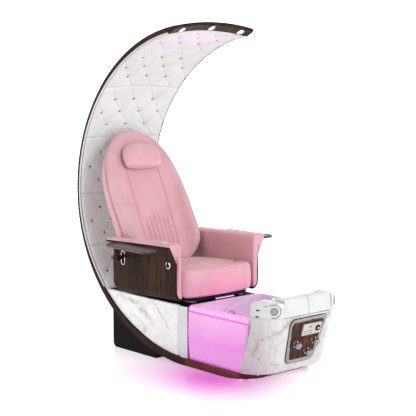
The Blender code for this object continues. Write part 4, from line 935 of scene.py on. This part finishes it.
def centre_panel():
    """Centre panel with sewn flutes that fade out towards the shoulders."""
    grooves = [FLUTE_PITCH * (k - (FLUTES - 1) / 2) for k in range(FLUTES)]
    low, high = BACK_LOW + BOLSTER_FOOT + 0.012, PANEL_TOP - 0.045
    cols, rows = 128, 60
    front, back = [], []
    for r in range(rows + 1):
        up = blend(low, high, r / rows)
        half = panel_half(up)
        row = []
        for c in range(cols + 1):
            u = 2.0 * c / cols - 1.0
            dip = 0.0
            for k, groove in enumerate(grooves):
                reach = FLUTE_TOP - 0.018 * abs(k - (FLUTES - 1) / 2)
                sewn = smooth((reach - up) / 0.12)
                dip = max(dip, FLUTE_DEPTH * sewn * bell(u * PANEL_HALF - groove, 0.0075))
            edge = 0.004 * smooth((abs(u) - 0.90) / 0.10)
            row.append(back_point(u * half, up, PANEL_FACE + PANEL_CROWN * (1.0 - u * u) - dip - edge))
        front.append(row)
        if r % 6 == 0:
            back.append([back_point(-half, up, GAP), back_point(0.0, up, GAP), back_point(half, up, GAP)])
    upholster(Form().slab(front, back), "fluted_panel", "back_panel", "back", "pink_leather")


def pillow_point(turn, grow, out):
    c, s = math.cos(turn), math.sin(turn)
    centre = blend(PILLOW_LOW, PILLOW_HIGH, 0.42)
    x = PILLOW_HALF * signed_power(c, 0.85 if s >= 0 else 0.6)
    up = (PILLOW_HIGH - centre) * s ** 0.9 if s >= 0 else -(centre - PILLOW_LOW) * abs(s) ** 0.45
    return back_point(x * grow, centre + up * grow, out)


def pillow():
    """Head pillow: a full D shape with a cord along its seam."""
    rear = PANEL_FACE + PANEL_CROWN + GAP
    levels = ((0.0, 0.70), (0.004, 0.86), (0.011, 0.96), (0.019, 0.985), (0.023, 0.985), (0.031, 0.965),
              (0.040, 0.88), (0.047, 0.72), (0.051, 0.46), (0.052, 0.2))
    rings = [[pillow_point(t, grow, rear + out) for t in turns(72)] for out, grow in levels]
    upholster(Form().loft(rings), "pillow_leather", "head_pillow", "back", "pink_leather", 1)
    cord = [pillow_point(t, 0.985, rear + 0.021) for t in turns(96)]
    Form().tube(cord, 0.0028, closed=True).make("pillow_piping", PIPING, "back", "white_leather")


def rounded(corners, radii, between=()):
    """Outline with soft corners, and points at shares of the way from each corner to the next."""
    corners = [Vector(corner) for corner in corners]
    outline = []
    for k, here in enumerate(corners):
        far = corners[(k + 1) % len(corners)]
        before, after = (corners[k - 1] - here).normalized(), (far - here).normalized()
        for step in range(9):
            share = step / 8
            outline.append(here + before * radii[k] * (1 - share) ** 2 + after * radii[k] * share ** 2)
        outline += [here.lerp(far, share) for share in between]
    return outline


def footrest():
    """Two padded halves of the footrest."""
    low = NOSE_TOP + GAP
    front, rear = NOSE_FRONT_TOP + 0.004, GLASS_FRONT_TOP - GAP
    corners = ((rear, low), (front, low), (front + 0.012, PAD_TOP), (rear, PAD_TOP - PAD_FALL))
    outline = rounded(corners, (0.006, 0.010, 0.034, 0.030), (0.35, 0.65))
    columns = ((0.0, 0.011), (0.006, 0.006), (0.02, 0.002), (0.05, 0.0), (0.25, -0.001), (0.5, -0.0015),
               (0.75, -0.001), (0.95, 0.0), (0.98, 0.002), (0.994, 0.006), (1.0, 0.011))
    for word, side in SIDES:
        rings = []
        for share, inset in columns:
            ring = []
            for p in outline:
                pull = smooth((p.y - low) / 0.03)
                y = blend(p.x, (front + rear) / 2, inset * pull * 8)
                ring.append(Vector((side * blend(GAP, PAD_HALF, share), y, p.y - inset * pull)))
            rings.append(ring)
        upholster(Form().loft(rings), "footrest_leather_" + word, "footrest_pad_" + word, "base",
                  "white_leather", 1)


FACE_OUT = Vector((0.0, PLINTH_TOP - NOSE_TOP, NOSE_FRONT_TOP - NOSE_FRONT_LOW)).normalized()


def nose_front(z):
    return blend(NOSE_FRONT_LOW, NOSE_FRONT_TOP, (z - PLINTH_TOP) / (NOSE_TOP - PLINTH_TOP))


def face_point(x, z, out):
    return Vector((x, nose_front(z), z)) + FACE_OUT * out


def panel_outline(inset):
    """Outline of the control panel, narrower at its foot, with round corners."""
    low, high = PANEL_LOW + inset, PANEL_HIGH - inset
    bottom, top = PANEL_HALF_LOW - inset, PANEL_HALF_TOP - inset
    return rounded(((-bottom, low), (bottom, low), (top, high), (-top, high)), [BEZEL_CORNER - inset] * 4)


def panel_joint_shade():
    """Dark tubes in the joints outside and inside the chrome frame of the control panel, as painted shade."""
    joints = Form()
    for inset, out, thick in ((-0.0012, 0.0012, 0.0016), (BEZEL_WIDTH - 0.0002, 0.0046, 0.0012)):
        joints.tube([face_point(x, z, out) for x, z in panel_outline(inset)], thick, 8, True)
    joints.make("panel_joint_shade", BLACK, "base", "black_plastic")


def keypad_face():
    """Small lit window, generic keys and the pale centre of the dial."""
    out = 0.0148
    outline = ((-0.012, -0.005), (0.012, -0.005), (0.012, 0.005), (-0.012, 0.005))
    window = [[face_point(0.012 + x * g, 0.311 + z * g, out + o) for x, z in outline]
              for o, g in ((-0.0002, 1.0), (0.0006, 1.0), (0.0008, 0.9))]
    Form().loft(window).make("keypad_window", SCREEN, "base", "keypad_silver")
    keys = Form()
    profile = ((0.0034, -0.0003), (0.0034, 0.0008), (0.0024, 0.0014))
    for k in range(4):
        for z in (0.272, 0.286):
            keys.turned(profile, face_point(-0.024 + 0.018 * k, z, out), FACE_OUT, 14)
    keys.make("keypad_keys", BLACK, "base", "black_plastic")
    profile = ((0.0072, 0.0062), (0.0070, 0.0076), (0.0040, 0.0084), (0.001, 0.0086))
    centre = Form().turned(profile, face_point(0.076, 0.296, out), FACE_OUT, 20)
    centre.make("dial_centre", GLOSS_WHITE, "dial", "white_gloss")


def shoulder_point(side, run, z, out=0.0):
    """Place on the round wall of a corner housing: a run along the wall, from its rear, and a height."""
    inset = 0.002 * max((z - 0.391) / 0.053, 0.0) if z < 0.444 else 0.002 + 0.007 * (z - 0.444) / 0.017
    turn = run / NOSE_CORNER
    reach = NOSE_CORNER - inset + out
    return Vector((side * (BODY_HALF - NOSE_CORNER + reach * math.cos(turn)),
                   NOSE_FRONT_TOP + NOSE_CORNER - reach * math.sin(turn), z))


def plinth_screw(word, side):
    """Screw head on the floor board's front corner."""
    turn = math.radians(75.0)
    out = Vector((side * math.cos(turn), -math.sin(turn), 0.0))
    hub = Vector((side * (BAND_HALF - PLINTH_CORNER), PLINTH_FRONT + PLINTH_CORNER,
                  PAN_HEIGHT + PLINTH_THICK / 2))
    profile = ((0.0050, -0.002), (0.0050, 0.0008), (0.0036, 0.0020), (0.0010, 0.0024))
    screw = Form().turned(profile, hub + out * PLINTH_CORNER, out, 20)
    screw.make("plinth_screw_" + word, CHROME, "base", "chrome")


def rosettes():
    """Caps with a plain six-petal line in a sunk drop with two vents, all drawn as dark tubes of painted
    shade, and the screws of the board below.
    """
    home, high, drop = 0.137, 0.421, 0.036
    vents = ((0.042, high + 0.002), (0.040, high - 0.033))
    rim = [vents[1]]
    for k in range(22):
        turn = math.radians(-100.0 + 10.0 * k)
        rim.append((home + drop * math.cos(turn), high + drop * math.sin(turn)))
    rim += [(0.083, high + 0.026), vents[0]]
    for word, side in SIDES:
        centre = shoulder_point(side, home, high)
        aim = (shoulder_point(side, home, high, 0.01) - centre).normalized()
        profile = ((0.0205, -0.003), (0.0205, 0.0010), (0.0190, 0.0020), (0.0060, 0.0024))
        cap = Form().turned(profile, centre, aim, 32)
        cap.make("corner_cap_" + word, GLOSS_WHITE, "base", "white_gloss")
        across = Vector((0.0, 0.0, 1.0)).cross(aim)
        # The petal lines are grey tubes: painted shade of engraved lines
        lines = Form()
        for radius, petal, thick in ((0.0190, 0.0, 0.0017), (0.0118, 0.24, 0.0017), (0.0045, 0.0, 0.0014)):
            path = []
            for turn in turns(48):
                reach = radius * (1.0 + petal * math.cos(6 * turn))
                path.append(centre + aim * 0.0021 + across * reach * math.cos(turn)
                            + Vector((0.0, 0.0, reach * math.sin(turn))))
            lines.tube(path, thick, 8, True)
        lines.make("corner_lines_" + word, GROOVE_SHADE, "base", "white_gloss")
        # The sunk drop is a grey tube: painted shade of its groove
        groove = Form().tube([shoulder_point(side, run, z, -0.0004) for run, z in rim], 0.0017, 8)
        groove.make("corner_groove_" + word, GROOVE_SHADE, "base", "white_gloss")
        # The vents are black tubes: painted shade of two notches
        slots = Form()
        for run, z in vents:
            steps = (-0.010, -0.004, 0.004, 0.010)
            slots.tube([shoulder_point(side, run + step, z, -0.0008) for step in steps], 0.0036, 8)
        slots.make("corner_vents_" + word, BLACK, "base", "black_plastic")
        plinth_screw(word, side)


def glow_strips():
    """Light strips under the floor board, round the base pan."""
    strips = Form()
    half, front, low, high = 0.2405, -0.6055, 0.0012, 0.0066
    section = ((-0.003, low), (0.003, low), (0.003, high), (-0.003, high))
    for x in (-half, half):
        strips.loft([[(x + d, y, z) for d, z in section] for y in (-0.585, 0.085)])
    strips.loft([[(x, front + d, z) for d, z in section] for x in (-0.21, 0.21)])
    strips.make("underglow_strips", LED, "base", "white_gloss")


def sky():
    """Sky that is dark below, and dimmer on the camera's side."""
    world = bpy.data.worlds.new("studio")
    world.use_nodes = True
    nodes = Nodes(world.node_tree)
    where = nodes.value("Generated", "ShaderNodeTexCoord")
    stops = [(place, [tone] * 3) for place, tone in SKY_TONES]
    facing = nodes.vector("DOT_PRODUCT", where, (-0.66, -0.74, 0.0))
    links, inputs = world.node_tree.links, world.node_tree.nodes["Background"].inputs
    links.new(nodes.ramp(nodes.axes(where)[2], *stops).socket, inputs["Color"])
    links.new(nodes.range(facing, SKY_BACK, SKY_FRONT, 0.10, 0.75).socket, inputs["Strength"])
    scene.world = world


def lamps():
    """Soft boxes, fills for the liner, and the pink light of basin and canopy."""
    centre = (0.0, 0.0, 0.8)
    white, rose, lilac = (1.0, 1.0, 1.0), (1.0, 0.08, 0.82), (1.0, 0.35, 0.95)
    boxes = [("key", (0.3, -5.0, 3.3), centre, (3.2, 2.2), 132.0, white),
             ("side", (-4.6, -0.6, 2.6), centre, (1.6, 2.6), 12.0, white),
             ("top", (0.0, -0.4, 4.6), centre, (2.4, 2.4), 30.0, white),
             ("glow", (0.0, -0.45, 0.30), (0.0, -0.17, 0.43), (0.40, 0.15), 0.50, rose),
             ("glow", (0.0, 0.05, 1.80), (0.0, 0.30, 1.97), (0.40, 0.15), 0.14, lilac)]
    for side in (-1, 1):
        boxes.append(("fill", (0.95 * side, 0.15, 0.85), (0.15 * side, 0.85, 0.80), (0.3, 0.9), 1.7, white))
    for name, place, target, size, power, colour in boxes:
        lamp = bpy.data.lights.new(name, "AREA")
        lamp.shape = "RECTANGLE"
        lamp.size, lamp.size_y = size
        lamp.energy = power
        lamp.color = colour
        made = bpy.data.objects.new(name, lamp)
        made.location = place
        made.rotation_euler = (Vector(target) - Vector(place)).to_track_quat("-Z", "Y").to_euler()
        made.visible_camera = False
        scene.collection.objects.link(made)


# Camera of the photograph, in metres, degrees and millimetres
CAMERA_PLACE = (-4.4634, -4.9719, 1.6695)
CAMERA_AZIMUTH, CAMERA_ELEVATION, CAMERA_LENS = 42.079, 6.618, 96.4

# Sky: grey tones by height, and its strength behind the chair and on the camera's side
SKY_TONES = ((0.0, 0.06), (0.05, 0.10), (0.35, 0.55), (0.70, 1.0), (1.0, 1.0))
SKY_BACK, SKY_FRONT = 0.70, 0.46

# Pool of pink light that the strips throw on the floor beside the base: centre and spread
GLOW_X, GLOW_Y = 0.40, -0.46
GLOW_WIDE, GLOW_LONG = 0.33, 0.46
GLOW_FAR = 0.45

# Floor and the wall round it, and how much light the wall gives in front and behind; it is seen as white
FLOOR_FLAT, FLOOR_CURVE, WALL_TOP = 8.5, 3.0, 5.5
WALL_FRONT, WALL_BACK = 0.06, 0.70


def floor_finish():
    """Pale floor with the pool of pink light, and the wall, which eye and reflections see as white."""
    pale = Paint("pale_floor", {"Specular IOR Level": 0.3})
    place = pale.where()
    tone = pale.noise(place, 3.0, 3.0)
    x, y = pale.axes(place)[:2]
    across, along = abs(abs(x) - GLOW_X) / GLOW_WIDE, abs(y - GLOW_Y) / GLOW_LONG
    lit = pale.math("POWER", math.e, (across ** 2.0 + along ** 2.0) * -1.0)
    lit = lit * pale.range(pale.math("LESS_THAN", x, 0.0), GLOW_FAR, 1.0)
    shade = pale.mix(lit, (0.84, 0.84, 0.84, 1.0), (0.10, 0.10, 0.10, 1.0))
    away = pale.range(pale.vector("LENGTH", place), 0.0, 1.0, 4.0, FLOOR_FLAT)
    behind = pale.vector("DOT_PRODUCT", place, (0.669, 0.743, 0.0))
    wall = pale.range(behind, WALL_FRONT, WALL_BACK, -6.0, 3.0)
    rays = pale.add("ShaderNodeLightPath").outputs
    for kind in ("Is Camera Ray", "Is Glossy Ray", "Is Transmission Ray"):
        wall = pale.math("MAXIMUM", wall, Field(pale, rays[kind]))
    return pale.finish({"Base Color": pale.mix(tone * 0.04, shade, (0.9, 0.9, 0.9, 1.0)),
                        "Roughness": pale.range(tone, 0.22, 0.28),
                        "Emission Color": pale.mix(lit, (1.0, 1.0, 1.0, 1.0), (1.0, 0.14, 0.80, 1.0)),
                        "Emission Strength": pale.range(lit, 0.46, 0.64) * (1.0 - away) + wall * away})


def stage():
    """Round floor that curves up into a wall on all sides, the lights and the photograph's camera."""
    profile = [(FLOOR_FLAT - 0.5, 0.0), (FLOOR_FLAT, 0.0)]
    for turn in quarter(10)[1:]:
        profile.append((FLOOR_FLAT + FLOOR_CURVE * math.sin(turn), FLOOR_CURVE * (1.0 - math.cos(turn))))
    profile.append((FLOOR_FLAT + FLOOR_CURVE, WALL_TOP))
    count = 96
    points = [(reach * math.cos(t), reach * math.sin(t), z) for reach, z in profile for t in turns(count)]
    faces = [tuple(range(count))]
    for low in range(0, count * (len(profile) - 1), count):
        for j in range(count):
            after = (j + 1) % count
            faces.append((low + j, low + count + j, low + count + after, low + after))
    mesh = bpy.data.meshes.new("floor")
    mesh.from_pydata(points, [], faces)
    mesh.shade_smooth()
    mesh.materials.append(floor_finish())
    floor = bpy.data.objects.new("floor", mesh)
    scene.collection.objects.link(floor)
    sky()
    lamps()
    lens = bpy.data.cameras.new("camera")
    lens.sensor_width = 36.0
    lens.lens = CAMERA_LENS
    camera = bpy.data.objects.new("camera", lens)
    camera.location = CAMERA_PLACE
    azimuth, elevation = math.radians(CAMERA_AZIMUTH), math.radians(CAMERA_ELEVATION)
    ahead = Vector((math.sin(azimuth) * math.cos(elevation), math.cos(azimuth) * math.cos(elevation),
                    -math.sin(elevation)))
    camera.rotation_euler = ahead.to_track_quat("-Z", "Y").to_euler()
    scene.collection.objects.link(camera)
    scene.camera = camera


paint_nodes()
liner()
lamp_lenses()
seat()
arms()
backrest()
centre_panel()
pillow()
footrest()
panel_joint_shade()
keypad_face()
rosettes()
glow_strips()
stage()
